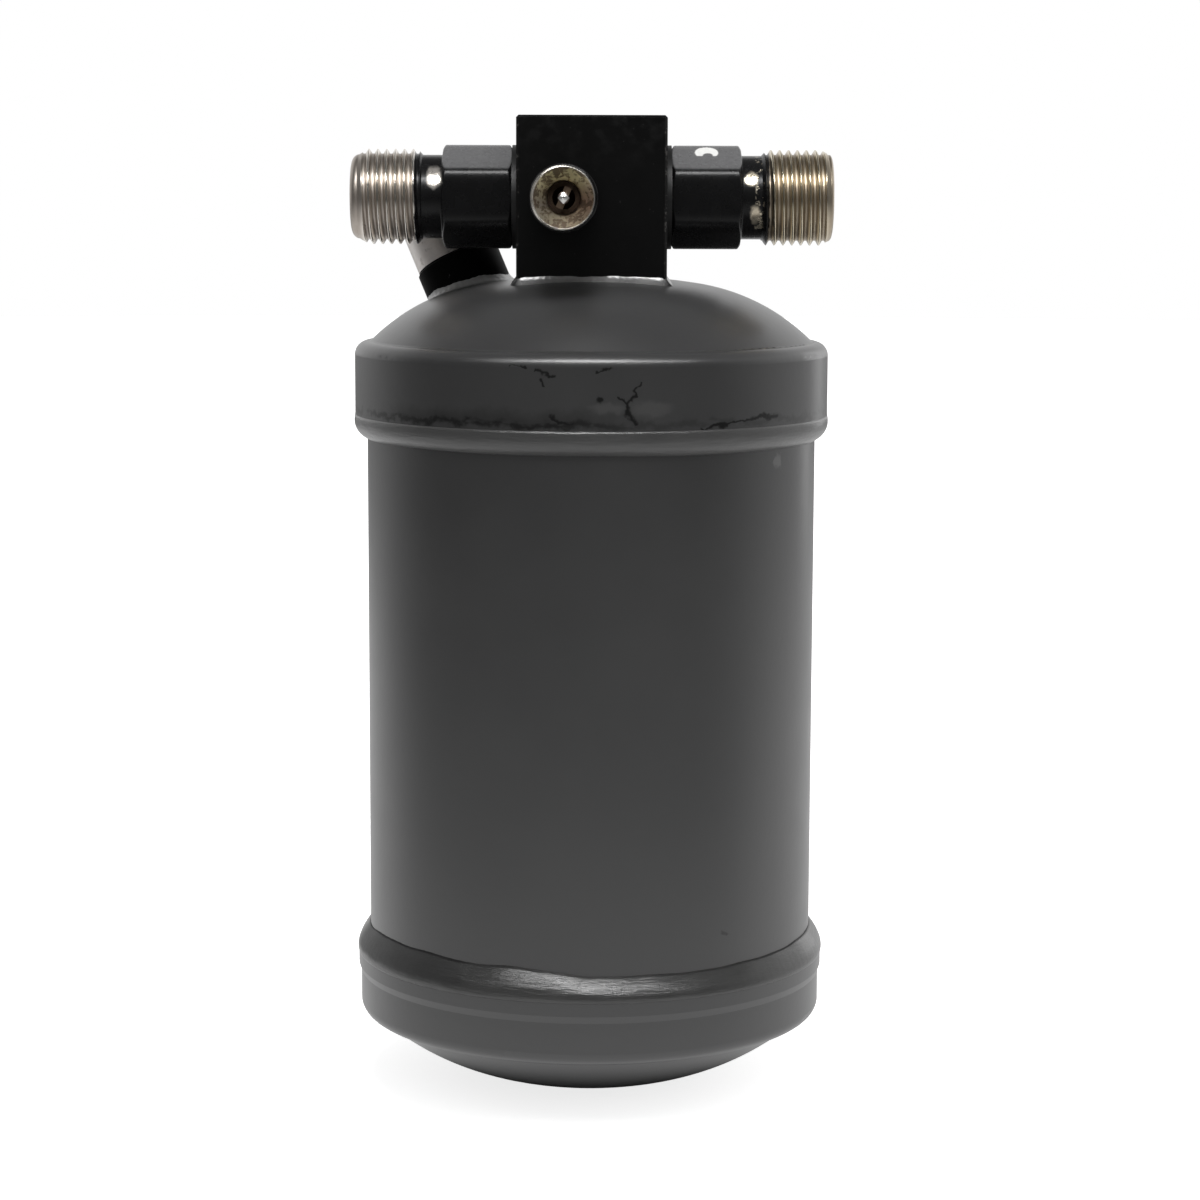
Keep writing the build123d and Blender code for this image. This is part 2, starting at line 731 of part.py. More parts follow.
relief_boss.part.label = "relief_boss"
export_step(relief_boss.part, "parts/relief_boss.step")

with BuildPart() as relief_boss_weld:
    with BuildSketch(relief_axis.offset(-boss_reach)):
        Circle(boss_radius + boss_weld_leg + boss_reach)
    extrude(amount=boss_reach + boss_weld_leg, taper=45)
    with BuildSketch(relief_axis.offset(-boss_reach)):
        Circle(boss_radius + weld_gap)
    extrude(amount=2 * boss_reach, mode=Mode.SUBTRACT)
    add(clear_dome.part, mode=Mode.SUBTRACT)
    add(clear_block_weld.part, mode=Mode.SUBTRACT)
relief_boss_weld.part.label = "relief_boss_weld"
export_step(relief_boss_weld.part, "parts/relief_boss_weld.step")

collar_top = relief_boss_height + relief_collar_length
with BuildPart() as relief_valve_body:
    with BuildSketch(section_of(relief_axis)):
        with BuildLine():
            Polyline(
                (0, relief_spigot_foot),
                (relief_thread, relief_spigot_foot),
                (relief_thread, relief_boss_height),
                (relief_collar_diameter / 2, relief_boss_height),
                (relief_collar_diameter / 2, collar_top),
                (relief_nose_diameter / 2, collar_top),
                (relief_nose_diameter / 2, relief_length),
                (0, relief_length),
                close=True,
            )
        make_face()
    revolve(axis=axis_of(relief_axis))
    with BuildSketch(relief_axis.offset(collar_top)):
        RegularPolygon(relief_hex_across_flats / 2, 6, major_radius=False)
    extrude(amount=relief_hex_length)
    with BuildSketch(section_of(relief_axis)):
        with BuildLine():
            Polyline(
                (0, relief_spigot_foot),
                (relief_nozzle_diameter / 2, relief_spigot_foot),
                (relief_nozzle_diameter / 2, relief_seat_height),
                (relief_bore_diameter / 2, relief_seat_height),
                (relief_bore_diameter / 2, relief_length),
                (0, relief_length),
                close=True,
            )
        make_face()
    revolve(axis=axis_of(relief_axis), mode=Mode.SUBTRACT)
relief_valve_body.part.label = "relief_valve_body"
export_step(relief_valve_body.part, "parts/relief_valve_body.step")

o_ring_radius = relief_tap + o_ring_clearance + o_ring_section / 2
with BuildPart() as relief_o_ring:
    with BuildSketch(section_of(relief_axis)):
        with Locations((o_ring_radius, relief_boss_height - o_ring_depth / 2)):
            Circle(o_ring_section / 2)
    revolve(axis=axis_of(relief_axis))
relief_o_ring.part.label = "relief_o_ring"
export_step(relief_o_ring.part, "parts/relief_o_ring.step")

# Poppet: a grooved disc with a shouldered stem, over a rubber disc that closes the nozzle
poppet_foot = relief_seat_height + seat_gap
with BuildPart() as relief_seal_disc:
    with BuildSketch(relief_axis.offset(poppet_foot)):
        Circle(relief_seal_diameter / 2)
    extrude(amount=relief_seal_thickness)
relief_seal_disc.part.label = "relief_seal_disc"
export_step(relief_seal_disc.part, "parts/relief_seal_disc.step")

poppet_face = poppet_foot + relief_seal_thickness
with BuildPart() as relief_poppet:
    with BuildSketch(relief_axis.offset(poppet_face)):
        Circle(poppet_diameter / 2)
        with PolarLocations(poppet_diameter / 2, poppet_groove_count):
            Circle(poppet_groove_diameter / 2, mode=Mode.SUBTRACT)
    extrude(amount=poppet_thickness)
    with BuildSketch(relief_axis.offset(poppet_face)):
        Circle(poppet_shoulder_diameter / 2)
    extrude(amount=adjuster_foot - seat_gap - poppet_travel - poppet_face)
    with BuildSketch(relief_axis.offset(poppet_face)):
        Circle(poppet_stem_diameter / 2)
    extrude(amount=adjuster_foot + stem_guide_length - poppet_face)
relief_poppet.part.label = "relief_poppet"
export_step(relief_poppet.part, "parts/relief_poppet.step")

# The adjuster screws down on the spring. Its middle hole guides the stem and the others are vents.
with BuildPart() as relief_adjuster:
    with BuildSketch(relief_axis.offset(adjuster_foot)):
        Circle(relief_bore_diameter / 2 - adjuster_clearance)
        Circle(poppet_stem_diameter / 2 + stem_clearance, mode=Mode.SUBTRACT)
        with PolarLocations(vent_radius, vent_count, start_angle=180 / vent_count):
            Circle(vent_diameter / 2, mode=Mode.SUBTRACT)
    extrude(amount=adjuster_length)
    with BuildSketch(relief_axis.offset(adjuster_foot + adjuster_length)):
        Rectangle(relief_bore_diameter, adjuster_slot_width)
    extrude(amount=-adjuster_slot_depth, mode=Mode.SUBTRACT)
relief_adjuster.part.label = "relief_adjuster"
export_step(relief_adjuster.part, "parts/relief_adjuster.step")

relief_spring_foot = poppet_face + poppet_thickness + seat_gap
relief_spring_radius = (relief_bore_diameter + poppet_stem_diameter) / 4
relief_spring = compression_spring(
    relief_axis,
    relief_spring_foot,
    adjuster_foot - seat_gap,
    relief_spring_radius,
    relief_spring_wire,
    relief_spring_turns,
)
relief_spring.part.label = "relief_spring"
export_step(relief_spring.part, "parts/relief_spring.step")

# Pick-up tube, from the block's riser down to the strainer in the lower dome
pickup_radius = pickup_diameter / 2
pickup_top = block_foot + pickup_seat_depth
strainer_foot = -(bottom_apex - cap_wall) + strainer_floor_gap
pickup_foot = strainer_foot + strainer_wall + pickup_foot_gap
with BuildPart() as pickup_tube:
    with BuildSketch(Plane.XY.offset(pickup_foot)):
        Circle(pickup_radius)
        Circle(pickup_radius - pickup_wall, mode=Mode.SUBTRACT)
    extrude(amount=pickup_top - pickup_foot)
pickup_tube.part.label = "pickup_tube"
export_step(pickup_tube.part, "parts/pickup_tube.step")

strainer_radius = strainer_diameter / 2
strainer_bore = pickup_radius + pickup_seat_clearance
strainer_top = strainer_foot + strainer_length
collar_foot = strainer_top - strainer_collar_length
cone_foot = collar_foot - (strainer_radius - strainer_bore - strainer_wall)
slot_middle = (strainer_foot + strainer_wall + cone_foot) / 2
with BuildPart() as pickup_strainer:
    with BuildSketch(up_section):
        with BuildLine():
            Polyline(
                (0, strainer_foot),
                (strainer_radius, strainer_foot),
                (strainer_radius, cone_foot),
                (strainer_bore + strainer_wall, collar_foot),
                (strainer_bore + strainer_wall, strainer_top),
                (strainer_bore, strainer_top),
                (strainer_bore, collar_foot),
                (strainer_radius - strainer_wall, cone_foot),
                (strainer_radius - strainer_wall, strainer_foot + strainer_wall),
                (0, strainer_foot + strainer_wall),
                close=True,
            )
        make_face()
    revolve(axis=Axis.Z)
    for slot_angle in range(0, 360, 2 * 360 // strainer_slot_count):
        slot_plane = Plane.XZ.rotated((0, 0, slot_angle))
        with BuildSketch(slot_plane):
            with Locations((0, slot_middle)):
                SlotOverall(strainer_slot_height, strainer_slot_width, rotation=90)
        extrude(amount=strainer_diameter, both=True, mode=Mode.SUBTRACT)
pickup_strainer.part.label = "pickup_strainer"
export_step(pickup_strainer.part, "parts/pickup_strainer.step")

# Desiccant column, from the lower plate up to the hold-down spring
liner_radius = tube_bore - liner_clearance
column_bore = pickup_radius + liner_clearance
lower_filter_foot = lower_plate_rise - bottom_shoulder
desiccant_foot = lower_filter_foot + filter_thickness
upper_filter_foot = desiccant_foot + desiccant_height
upper_plate_foot = upper_filter_foot + filter_thickness


def perforated_plate(section, inner_face, flange_end):
    """A pressed plate with rings of round holes and a flange turned down along the section's height.

    inner_face is the height of the face on the flange's side and flange_end that of its free edge.
    """
    outer_face = inner_face + plate_thickness
    bend = plate_bend_radius
    bend_centre = (liner_radius - bend, outer_face - bend)
    flange_bore = liner_radius - plate_thickness
    with BuildPart() as plate:
        with BuildSketch(section):
            with BuildLine():
                Polyline(
                    (liner_radius - bend, inner_face),
                    (column_bore, inner_face),
                    (column_bore, outer_face),
                    (liner_radius - bend, outer_face),
                )
                CenterArc(bend_centre, bend, 0, 90)
                Polyline(
                    (liner_radius, outer_face - bend),
                    (liner_radius, flange_end),
                    (flange_bore, flange_end),
                    (flange_bore, outer_face - bend),
                )
                CenterArc(bend_centre, bend - plate_thickness, 0, 90)
            make_face()
        revolve(axis=Axis.Z)
        with BuildSketch(Plane.XY):
            for ring_radius, holes in plate_hole_rings:
                with PolarLocations(ring_radius, holes):
                    Circle(plate_hole_diameter / 2)
        extrude(amount=bare_barrel_length, both=True, mode=Mode.SUBTRACT)
    return plate


# The lower plate's flange stands on the lower dome; the upper plate's flange is turned up
flange_stand = bottom_apex - cap_wall - dome_drop(liner_radius, cap_wall, *bottom_dome) - tube_end_gap
lower_plate = perforated_plate(up_section, lower_filter_foot - plate_thickness, -flange_stand)
lower_plate.part.label = "lower_plate"
export_step(lower_plate.part, "parts/lower_plate.step")

upper_plate = perforated_plate(
    down_section,
    -upper_plate_foot - plate_thickness,
    -upper_plate_foot - upper_flange_height,
)
upper_plate.part.label = "upper_plate"
export_step(upper_plate.part, "parts/upper_plate.step")

column_size = (2 * column_bore, 2 * liner_radius)
lower_filter_pad = seal_ring(Plane.XY.offset(lower_filter_foot), *column_size, filter_thickness)
lower_filter_pad.part.label = "lower_filter_pad"
export_step(lower_filter_pad.part, "parts/lower_filter_pad.step")

desiccant_bed = seal_ring(Plane.XY.offset(desiccant_foot), *column_size, desiccant_height)
desiccant_bed.part.label = "desiccant_bed"
export_step(desiccant_bed.part, "parts/desiccant_bed.step")

upper_filter_pad = seal_ring(Plane.XY.offset(upper_filter_foot), *column_size, filter_thickness)
upper_filter_pad.part.label = "upper_filter_pad"
export_step(upper_filter_pad.part, "parts/upper_filter_pad.step")

spring_reach = hold_down_diameter / 2 + hold_down_wire / 2
spring_ceiling = top_apex - cap_wall - dome_drop(spring_reach, cap_wall, *top_dome)
hold_down_spring = compression_spring(
    Plane.XY,
    upper_plate_foot + plate_thickness + hold_down_gap,
    spring_ceiling - hold_down_gap,
    hold_down_diameter / 2,
    hold_down_wire,
    hold_down_turns,
)
hold_down_spring.part.label = "hold_down_spring"
export_step(hold_down_spring.part, "parts/hold_down_spring.step")
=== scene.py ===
import math

import bpy
import numpy as np
from mathutils import Matrix, Vector


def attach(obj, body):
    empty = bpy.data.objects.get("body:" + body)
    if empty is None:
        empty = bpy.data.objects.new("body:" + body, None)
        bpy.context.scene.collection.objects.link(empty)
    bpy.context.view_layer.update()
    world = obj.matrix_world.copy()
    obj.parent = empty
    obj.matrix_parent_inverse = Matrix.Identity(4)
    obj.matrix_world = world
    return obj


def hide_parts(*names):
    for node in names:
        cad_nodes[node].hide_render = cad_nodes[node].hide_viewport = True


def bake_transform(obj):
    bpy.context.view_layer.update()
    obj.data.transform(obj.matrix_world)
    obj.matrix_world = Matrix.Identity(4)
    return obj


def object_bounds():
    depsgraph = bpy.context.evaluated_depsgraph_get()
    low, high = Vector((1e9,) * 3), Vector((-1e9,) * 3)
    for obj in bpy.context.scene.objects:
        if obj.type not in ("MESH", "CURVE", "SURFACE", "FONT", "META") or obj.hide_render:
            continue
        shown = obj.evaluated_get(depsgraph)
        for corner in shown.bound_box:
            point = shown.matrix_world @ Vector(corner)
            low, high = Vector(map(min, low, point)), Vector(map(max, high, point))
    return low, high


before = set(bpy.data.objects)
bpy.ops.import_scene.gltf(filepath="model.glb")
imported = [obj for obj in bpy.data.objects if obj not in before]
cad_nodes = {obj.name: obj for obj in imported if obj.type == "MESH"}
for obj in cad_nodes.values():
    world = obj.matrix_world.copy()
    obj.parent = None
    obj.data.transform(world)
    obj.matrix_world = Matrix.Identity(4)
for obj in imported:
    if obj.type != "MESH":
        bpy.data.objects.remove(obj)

cad_low, cad_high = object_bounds()

# Sizes of the canister, in millimetres; heights run from halfway up the bare barrel
MM = 0.001
TURN = 2 * math.pi
tube_radius = 38.1
skirt_radius = 40.15
bare_half = 41.5
top_skirt_end = 45.6
bottom_skirt_end = -47.2
crown_radius = 120.0
top_knuckle = 35.0
top_knuckle_centre = 12.881
top_knuckle_join = math.radians(8.716)
top_apex = 69.004

# Sizes of the head block and of what is screwed into it
block_half = 12.5
block_weld_toe = 69.18
port_height = 82.082
hex_foot = 0.9
hex_top = 12.55
hex_flat = 8.0
neck_top = 15.95
neck_radius = 7.0
spigot_foot = -4.5
spigot_radius = 6.75
passage_radius = 3.25
fitting_bore = 4.5
fitting_bore_end = 7.05
fitting_mouth = 5.1
fitting_tip = 28.05
fitting_pitch = 1.5
thread_crest = 8.0
service_offset = -4.5
service_length = 13.0
service_spigot_foot = -4.0
service_undercut_end = 3.4
service_thread_foot = 3.45
service_drill_start = 3.48
service_nose = 5.0
service_spigot = 4.0
service_collar = 2.0
service_crest = 5.55
service_root = 4.75
service_pitch = 1.27
service_rim = 5.02
service_mouth = 4.95
service_mouth_depth = 2.23
service_bore = 2.72
service_bore_end = 4.5
service_drill = 1.7

# The relief valve's foot on the dome, and the way it points
relief_foot = np.array([-21.201, 13.248, 65.857])
relief_way = np.array([-0.3850, 0.2406, 0.8910])
boss_radius = 7.4

# The two springs that work: where each coil starts and ends along its axis, and its wire
core_coil_foot = 1.55
core_coil_top = 4.35
core_coil_radius = 0.90
core_coil_wire = 0.22
relief_coil_foot = 6.85
relief_coil_top = 15.45
relief_coil_radius = 2.15
relief_coil_wire = 0.50


# Shapes. Each is worked out as whole arrays, in millimetres.
def dome_level(radius):
    """Height of the upper dome: a wide crown arc, then the knuckle arc that touches it.

    Each arc is held level past its end, where its formula stops.
    """
    crown_end = 40.0
    knuckle_end = top_knuckle * 0.95
    crown = top_apex - crown_radius + np.sqrt(crown_radius**2 - np.minimum(radius, crown_end) ** 2)
    arc_centre = top_apex - crown_radius + (crown_radius - top_knuckle) * math.cos(top_knuckle_join)
    reach = np.clip(radius - top_knuckle_centre, 0, knuckle_end)
    knuckle = arc_centre + np.sqrt(top_knuckle**2 - reach**2)
    return np.where(radius < crown_radius * math.sin(top_knuckle_join), crown, knuckle)


def eased_line(corners):
    """A profile through corners given as (along, radius, ease); its two ends stay sharp.

    Each corner is cut back by its ease and turned by a parabola through the cuts, and a point just
    beyond each cut keeps the flats between corners flat when they are shaded.
    """
    spots = np.array([corner[:2] for corner in corners], float)
    eases = np.array([corner[2] for corner in corners[1:-1]], float)
    turn = spots[1:-1]
    before = spots[:-2] - turn
    after = spots[2:] - turn
    before_length = np.linalg.norm(before, axis=1)
    after_length = np.linalg.norm(after, axis=1)
    shorter = np.minimum(before_length, after_length)
    cut = np.minimum(eases, 0.4 * shorter)
    rest = np.minimum(cut * 1.5, 0.48 * shorter)
    back = turn + before * (cut / before_length)[:, None]
    on = turn + after * (cut / after_length)[:, None]
    far_back = turn + before * (rest / before_length)[:, None]
    far_on = turn + after * (rest / after_length)[:, None]
    share = np.linspace(0, 1, 5)[None, :, None]
    bend = (1 - share) ** 2 * back[:, None] + share**2 * on[:, None]
    bend = bend + 2 * share * (1 - share) * turn[:, None]
    eased = np.concatenate([far_back[:, None], bend, far_on[:, None]], axis=1).reshape(-1, 2)
    return np.concatenate([spots[:1], eased, spots[-1:]])


def thread_cut(along, angle, pitch):
    """How far a thread's surface lies below its crest.

    A sixty-degree vee, flat for an eighth of the pitch at the crest and a quarter at the root,
    climbs one pitch in each turn.
    """
    from_crest = np.abs((along / pitch - angle / TURN) % 1.0 - 0.5)
    flank = 3 / 8 - 1 / 16
    return np.clip((from_crest - 1 / 16) / flank, 0, 1) * flank * pitch * math.tan(math.radians(60))


def hex_reach(angle, flat, sharpness):
    """Radius of a hexagon at each angle, one flat at angle zero: the p-norm of its six flats."""
    flats = np.arange(6) * TURN / 6
    facing = np.clip(np.cos(angle[:, None] - flats), 0, 1)
    return flat / np.sum(facing**sharpness, axis=-1) ** (1 / sharpness)


def new_piece(name, spots, faces):
    """A mesh object of points in millimetres, smoothly shaded."""
    mesh = bpy.data.meshes.new(name)
    mesh.from_pydata((spots * MM).tolist(), [], faces)
    mesh.shade_smooth()
    mesh.update()
    piece = bpy.data.objects.new(name, mesh)
    bpy.context.scene.collection.objects.link(piece)
    return piece


def closed_skin(name, points, body="root"):
    """A closed skin over a grid of points whose rows and columns both come back to their start.

    The sum of the tetrahedra under its faces gives its volume, which is negative while the faces
    point inwards, and then they are turned round.
    """
    rows, columns = points.shape[:2]
    index = np.arange(rows * columns).reshape(rows, columns)
    below = np.roll(index, -1, axis=0)
    faces = np.stack([index, below, np.roll(below, -1, axis=1), np.roll(index, -1, axis=1)], axis=-1)
    faces = faces.reshape(-1, 4)
    spots = points.reshape(-1, 3)
    a, b, c, d = (spots[faces[:, corner]] for corner in range(4))
    volume = np.sum(a * np.cross(b, c)) + np.sum(a * np.cross(c, d))
    if volume < 0:
        faces = faces[:, ::-1]
    piece = new_piece(name, spots, faces.tolist())
    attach(piece, body)
    return piece


def weld_run(name, upper, swell, lower, buried, ripple, lump, seed):
    """A weld's closed skin along a closed path: a parabola from the upper toe to the lower one,
    drawn towards the swell, and back through the metal it joins.

    Its surface rises and falls along its own normal. Lumps are a few long waves of random phase,
    and ripples are the crescents that the torch leaves, a millimetre apart and bowed along the run.
    """
    share = np.linspace(0, 1, 15)[:, None, None]
    face = (1 - share) ** 2 * upper + 2 * share * (1 - share) * swell + share**2 * lower
    outward = swell - buried
    outward = outward / np.linalg.norm(outward, axis=-1, keepdims=True)
    step = np.linalg.norm(np.roll(upper, -1, axis=0) - upper, axis=-1)
    run = np.cumsum(step) - step
    whole = np.sum(step)
    waves = np.arange(3, 12)
    phases = np.random.default_rng(seed).uniform(0, TURN, waves.size)
    lumps = np.sum(np.sin(TURN * run[:, None] / whole * waves + phases) / waves**0.5, axis=1) * 0.5
    crescent_gap = 1.1
    count = round(whole / crescent_gap)
    bow = 0.9 * (share[..., 0] - 0.5) ** 2
    crescents = np.cos(TURN * count * (run[None] / whole + bow / whole * 2))
    arch = np.sin(math.pi * share[..., 0])
    face = face + outward * (arch * (lump * lumps[None] + ripple * crescents))[..., None]
    return closed_skin(name, np.concatenate([face, buried[None]], axis=0))


def around(count):
    """Angles of the columns of a skin that closes on itself."""
    return np.arange(count) * TURN / count


def on_tube(radius, angle, height):
    """Points round the canister's axis."""
    across = radius * np.cos(angle)
    depth = radius * np.sin(angle)
    return np.stack(np.broadcast_arrays(across, depth, height), axis=-1)


def ring_weld(name, toe, swell, skirt_height, ripple, lump, seed):
    """The ring weld that fills the corner between a cap's skirt and the tube.

    Toe is its height on the tube at each angle, and swell the radius and height that draw it out.
    """
    angle = around(360)
    upper = on_tube(tube_radius - 0.02, angle, toe)
    drawn = on_tube(swell[0], angle, swell[1] + 0.4 * (toe - np.mean(toe)))
    edge = on_tube(skirt_radius + 0.04, angle, skirt_height + 0 * angle)
    inside = on_tube(tube_radius - 0.3, angle, skirt_height + 0.15 * np.sign(skirt_height))
    weld = weld_run(name, upper, drawn, edge, inside, ripple, lump, seed)
    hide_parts(name.replace("_run", ""))
    return weld


def even_toe():
    """The upper ring's toe: nearly level, with a slow wander."""
    angle = around(360)
    return bare_half + 0.10 * np.sin(2 * angle + 0.4) + 0.05 * np.sin(7 * angle)


def kinked_toe():
    """The lower ring's toe, which steps down right of the middle and dips again at both sides.

    Its height was measured at places round the front, in degrees to the right. The line through
    them is averaged over nine degrees, which turns its corners.
    """
    places = [-180, -120, -80, -63, -42, -32, -20, -9, 1, 30, 55, 78, 120, 180]
    left_heights = [-42.0, -42.2, -42.4, -41.8, -41.9, -42.3, -41.9]
    right_heights = [-42.4, -43.1, -43.2, -42.9, -42.5, -42.2, -42.0]
    angle = around(360)
    from_front = (np.degrees(angle) + 270) % 360 - 180
    line = np.interp(from_front, places, left_heights + right_heights)
    line = sum(np.roll(line, step) for step in range(-4, 5)) / 9
    return line + 0.05 * np.sin(13 * angle) + 0.04 * np.sin(29 * angle + 1)


top_ring = ring_weld(
    "top_weld_bead_run",
    toe=even_toe(),
    swell=(40.75, 42.7),
    skirt_height=top_skirt_end,
    ripple=0.012,
    lump=0.03,
    seed=3,
)
bottom_ring = ring_weld(
    "bottom_weld_bead_run",
    toe=kinked_toe(),
    swell=(40.78, -45.6),
    skirt_height=bottom_skirt_end,
    ripple=0.02,
    lump=0.05,
    seed=8,
)


def block_foot_weld():
    """The fillet round the block's foot: it leaves the block's sides, dips and meets the dome.

    The block's outline is a rounded square, the p-norm of its four sides.
    """
    angle = around(384)
    squareness = 28
    square = np.abs(np.cos(angle)) ** squareness + np.abs(np.sin(angle)) ** squareness
    square = square ** (-1 / squareness)
    wander = 0.08 * np.sin(9 * angle + 0.7) + 0.05 * np.sin(23 * angle)
    corner = np.abs(np.sin(2 * angle)) ** 6
    height = block_weld_toe + wander
    upper = on_tube((block_half - 0.03) * square, angle, height)
    reach = (block_half + 0.75 + 0.5 * wander + 0.3 * corner) * square
    lower = on_tube(reach, angle, dome_level(reach) - 0.05)
    root = (block_half + 0.30) * square
    full = on_tube(root, angle, dome_level(root) + 0.35)
    inside = on_tube((block_half - 0.8) * square, angle, dome_level(reach) - 0.9)
    weld = weld_run(
        "head_block_weld_run", upper, full, lower, inside, ripple=0.02, lump=0.03, seed=5
    )
    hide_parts("head_block_weld")
    return weld


def relief_boss_foot_weld():
    """The fillet round the relief valve's boss.

    Lines down the boss's side are followed to the dome by halving the distance twenty-four times,
    and the fillet runs from above that line out over the dome.
    """
    angle = around(192)
    across = np.cross(relief_way, [0.0, 0.0, 1.0])
    across /= np.linalg.norm(across)
    other = np.cross(relief_way, across)
    spoke = np.cos(angle)[:, None] * across + np.sin(angle)[:, None] * other
    search_reach = 12.0
    low = np.full(angle.shape, -search_reach)
    high = np.full(angle.shape, search_reach)
    for _ in range(24):
        middle = (low + high) / 2
        spot = relief_foot + boss_radius * spoke + middle[:, None] * relief_way
        above = spot[:, 2] - dome_level(np.hypot(spot[:, 0], spot[:, 1])) > 0
        high = np.where(above, middle, high)
        low = np.where(above, low, middle)
    leg = 1.5 + 0.12 * np.sin(5 * angle) + 0.08 * np.sin(11 * angle + 1)
    root = relief_foot + boss_radius * spoke + low[:, None] * relief_way
    upper = root + leg[:, None] * relief_way - 0.04 * spoke
    outward = spoke * np.array([1.0, 1.0, 0.0])
    outward /= np.maximum(np.linalg.norm(outward, axis=1, keepdims=True), 0.2)
    lower = root + leg[:, None] * outward
    lower[:, 2] = dome_level(np.hypot(lower[:, 0], lower[:, 1])) - 0.05
    hollow = root + 0.18 * (relief_way + outward)
    inside = root - 0.9 * spoke - 0.6 * relief_way
    weld = weld_run(
        "relief_boss_weld_run", upper, hollow, lower, inside, ripple=0.035, lump=0.06, seed=11
    )
    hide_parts("relief_boss_weld")
    return weld


block_weld = block_foot_weld()
boss_weld = relief_boss_foot_weld()


def turned_and_threaded(foot, mouth, start, tip, crest, root, lead, pitch, rows, columns):
    """A turned piece with a thread between its foot and its mouth, as heights, radii and angles.

    The thread is cut below its crest. It runs out into a cone at its foot, and at the tip it stays
    under the lead, a radius that grows with the depth behind the tip.
    """
    cut_rows = np.linspace(start, tip - 0.02, rows)
    profile = np.concatenate([foot, np.stack([cut_rows, 0 * cut_rows + crest], axis=1), mouth])
    angle = around(columns)
    along = profile[:, :1]
    row = np.arange(len(profile))[:, None]
    in_thread = (row >= len(foot)) & (row < len(foot) + rows)
    below_crest = crest - thread_cut(along, angle, pitch)
    run_out = root + (along - start) * 1.1
    threaded = np.minimum(np.minimum(below_crest, run_out), lead(tip - along))
    return along, np.where(in_thread, threaded, profile[:, 1:]), angle


def rounded_nose(depth, length, least, most):
    """A quarter ellipse from the least radius to the most, then a cone that lets the thread out."""
    share = np.clip(depth / length, 0, 1)
    return least + (most - least) * np.sqrt(1 - (1 - share) ** 2) + np.maximum(depth - length, 0) * 0.6


def seated_fitting(name, side, nose):
    """A hex fitting in the block's side: the same turned part, half a turn round for the inlet.

    Its profile runs round spigot, hex, neck, thread, mouth and bore, with heights from the block's
    side. On the hex, thirty-degree chamfer cones and the six flats are joined by a p-norm, which
    eases the edges where they meet. Nose is the rounded tip's length, least and most radius.
    """
    chamfer_slope = math.tan(math.radians(30))
    corner = hex_flat / math.cos(math.radians(30))
    foot = eased_line(
        [
            (spigot_foot, passage_radius, 0),
            (spigot_foot, spigot_radius, 0.3),
            (hex_foot, spigot_radius, 0.05),
            (hex_foot, hex_flat - 0.1, 0),
        ]
    )
    hex_along = np.concatenate(
        [
            np.linspace(hex_foot + 0.02, hex_foot + 0.8, 8),
            np.linspace(hex_foot + 1.0, hex_top - 1.0, 6),
            np.linspace(hex_top - 0.8, hex_top - 0.02, 8),
        ]
    )
    cone = hex_flat + np.minimum(hex_along - hex_foot, hex_top - hex_along) / chamfer_slope
    hexagon = np.stack([hex_along, np.minimum(cone, corner)], axis=1)
    neck = eased_line(
        [
            (hex_top, hex_flat - 0.1, 0),
            (hex_top, neck_radius, 0.35),
            (neck_top, neck_radius, 0),
        ]
    )
    mouth = eased_line(
        [
            (fitting_tip, nose[1] - 0.02, 0),
            (fitting_tip, fitting_mouth, 0.1),
            (fitting_tip - 0.6, fitting_bore, 0.12),
            (fitting_bore_end, fitting_bore, 0.1),
            (fitting_bore_end, passage_radius, 0),
        ]
    )
    along, radius, angle = turned_and_threaded(
        np.concatenate([foot, hexagon, neck]),
        mouth,
        start=neck_top + 0.05,
        tip=fitting_tip,
        crest=thread_crest,
        root=neck_radius,
        lead=lambda depth: rounded_nose(depth, *nose),
        pitch=fitting_pitch,
        rows=150,
        columns=240,
    )
    flat_sharpness = 11
    chamfer_sharpness = 90.0
    flat_radius = hex_reach(angle, hex_flat, flat_sharpness)
    on_hex = (along > hex_foot) & (along < hex_top) & (radius > hex_flat - 0.05)
    joined = radius**-chamfer_sharpness + flat_radius**-chamfer_sharpness
    radius = np.where(on_hex, joined ** (-1 / chamfer_sharpness), radius)
    reach = side * (block_half + along)
    level = port_height + radius * np.sin(angle)
    points = np.stack(np.broadcast_arrays(reach, side * radius * np.cos(angle), level), axis=-1)
    fitting = closed_skin(name + "_threaded", points)
    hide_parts(name)
    return fitting


inlet = seated_fitting("inlet_fitting", side=-1.0, nose=(1.3, 5.35, 7.05))
outlet = seated_fitting("outlet_fitting", side=1.0, nose=(0.7, 5.9, 7.3))


def threaded_service_port():
    """The service port on the block's front: a turned profile with its thread and a conical mouth."""
    foot = eased_line(
        [
            (service_spigot_foot, service_drill, 0),
            (service_spigot_foot, service_spigot, 0.2),
            (0.0, service_spigot, 0.02),
            (0.0, service_crest, 0.06),
            (service_collar, service_crest, 0.2),
            (service_collar, service_root, 0.25),
            (service_undercut_end, service_root, 0),
        ]
    )
    mouth = eased_line(
        [
            (service_length, service_rim, 0),
            (service_length, service_mouth, 0.05),
            (service_length - service_mouth_depth, service_bore, 0.35),
            (service_bore_end, service_bore, 0.05),
            (service_drill_start, service_drill, 0),
        ]
    )
    along, radius, angle = turned_and_threaded(
        foot,
        mouth,
        start=service_thread_foot,
        tip=service_length,
        crest=service_crest,
        root=service_root,
        lead=lambda depth: service_nose + depth,
        pitch=service_pitch,
        rows=120,
        columns=200,
    )
    across = service_offset + radius * np.cos(angle)
    level = port_height + radius * np.sin(angle)
    points = np.stack(np.broadcast_arrays(across, -block_half - along, level), axis=-1)
    port = closed_skin("service_port_threaded", points)
    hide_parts("service_port_body")
    return port


service_port = threaded_service_port()


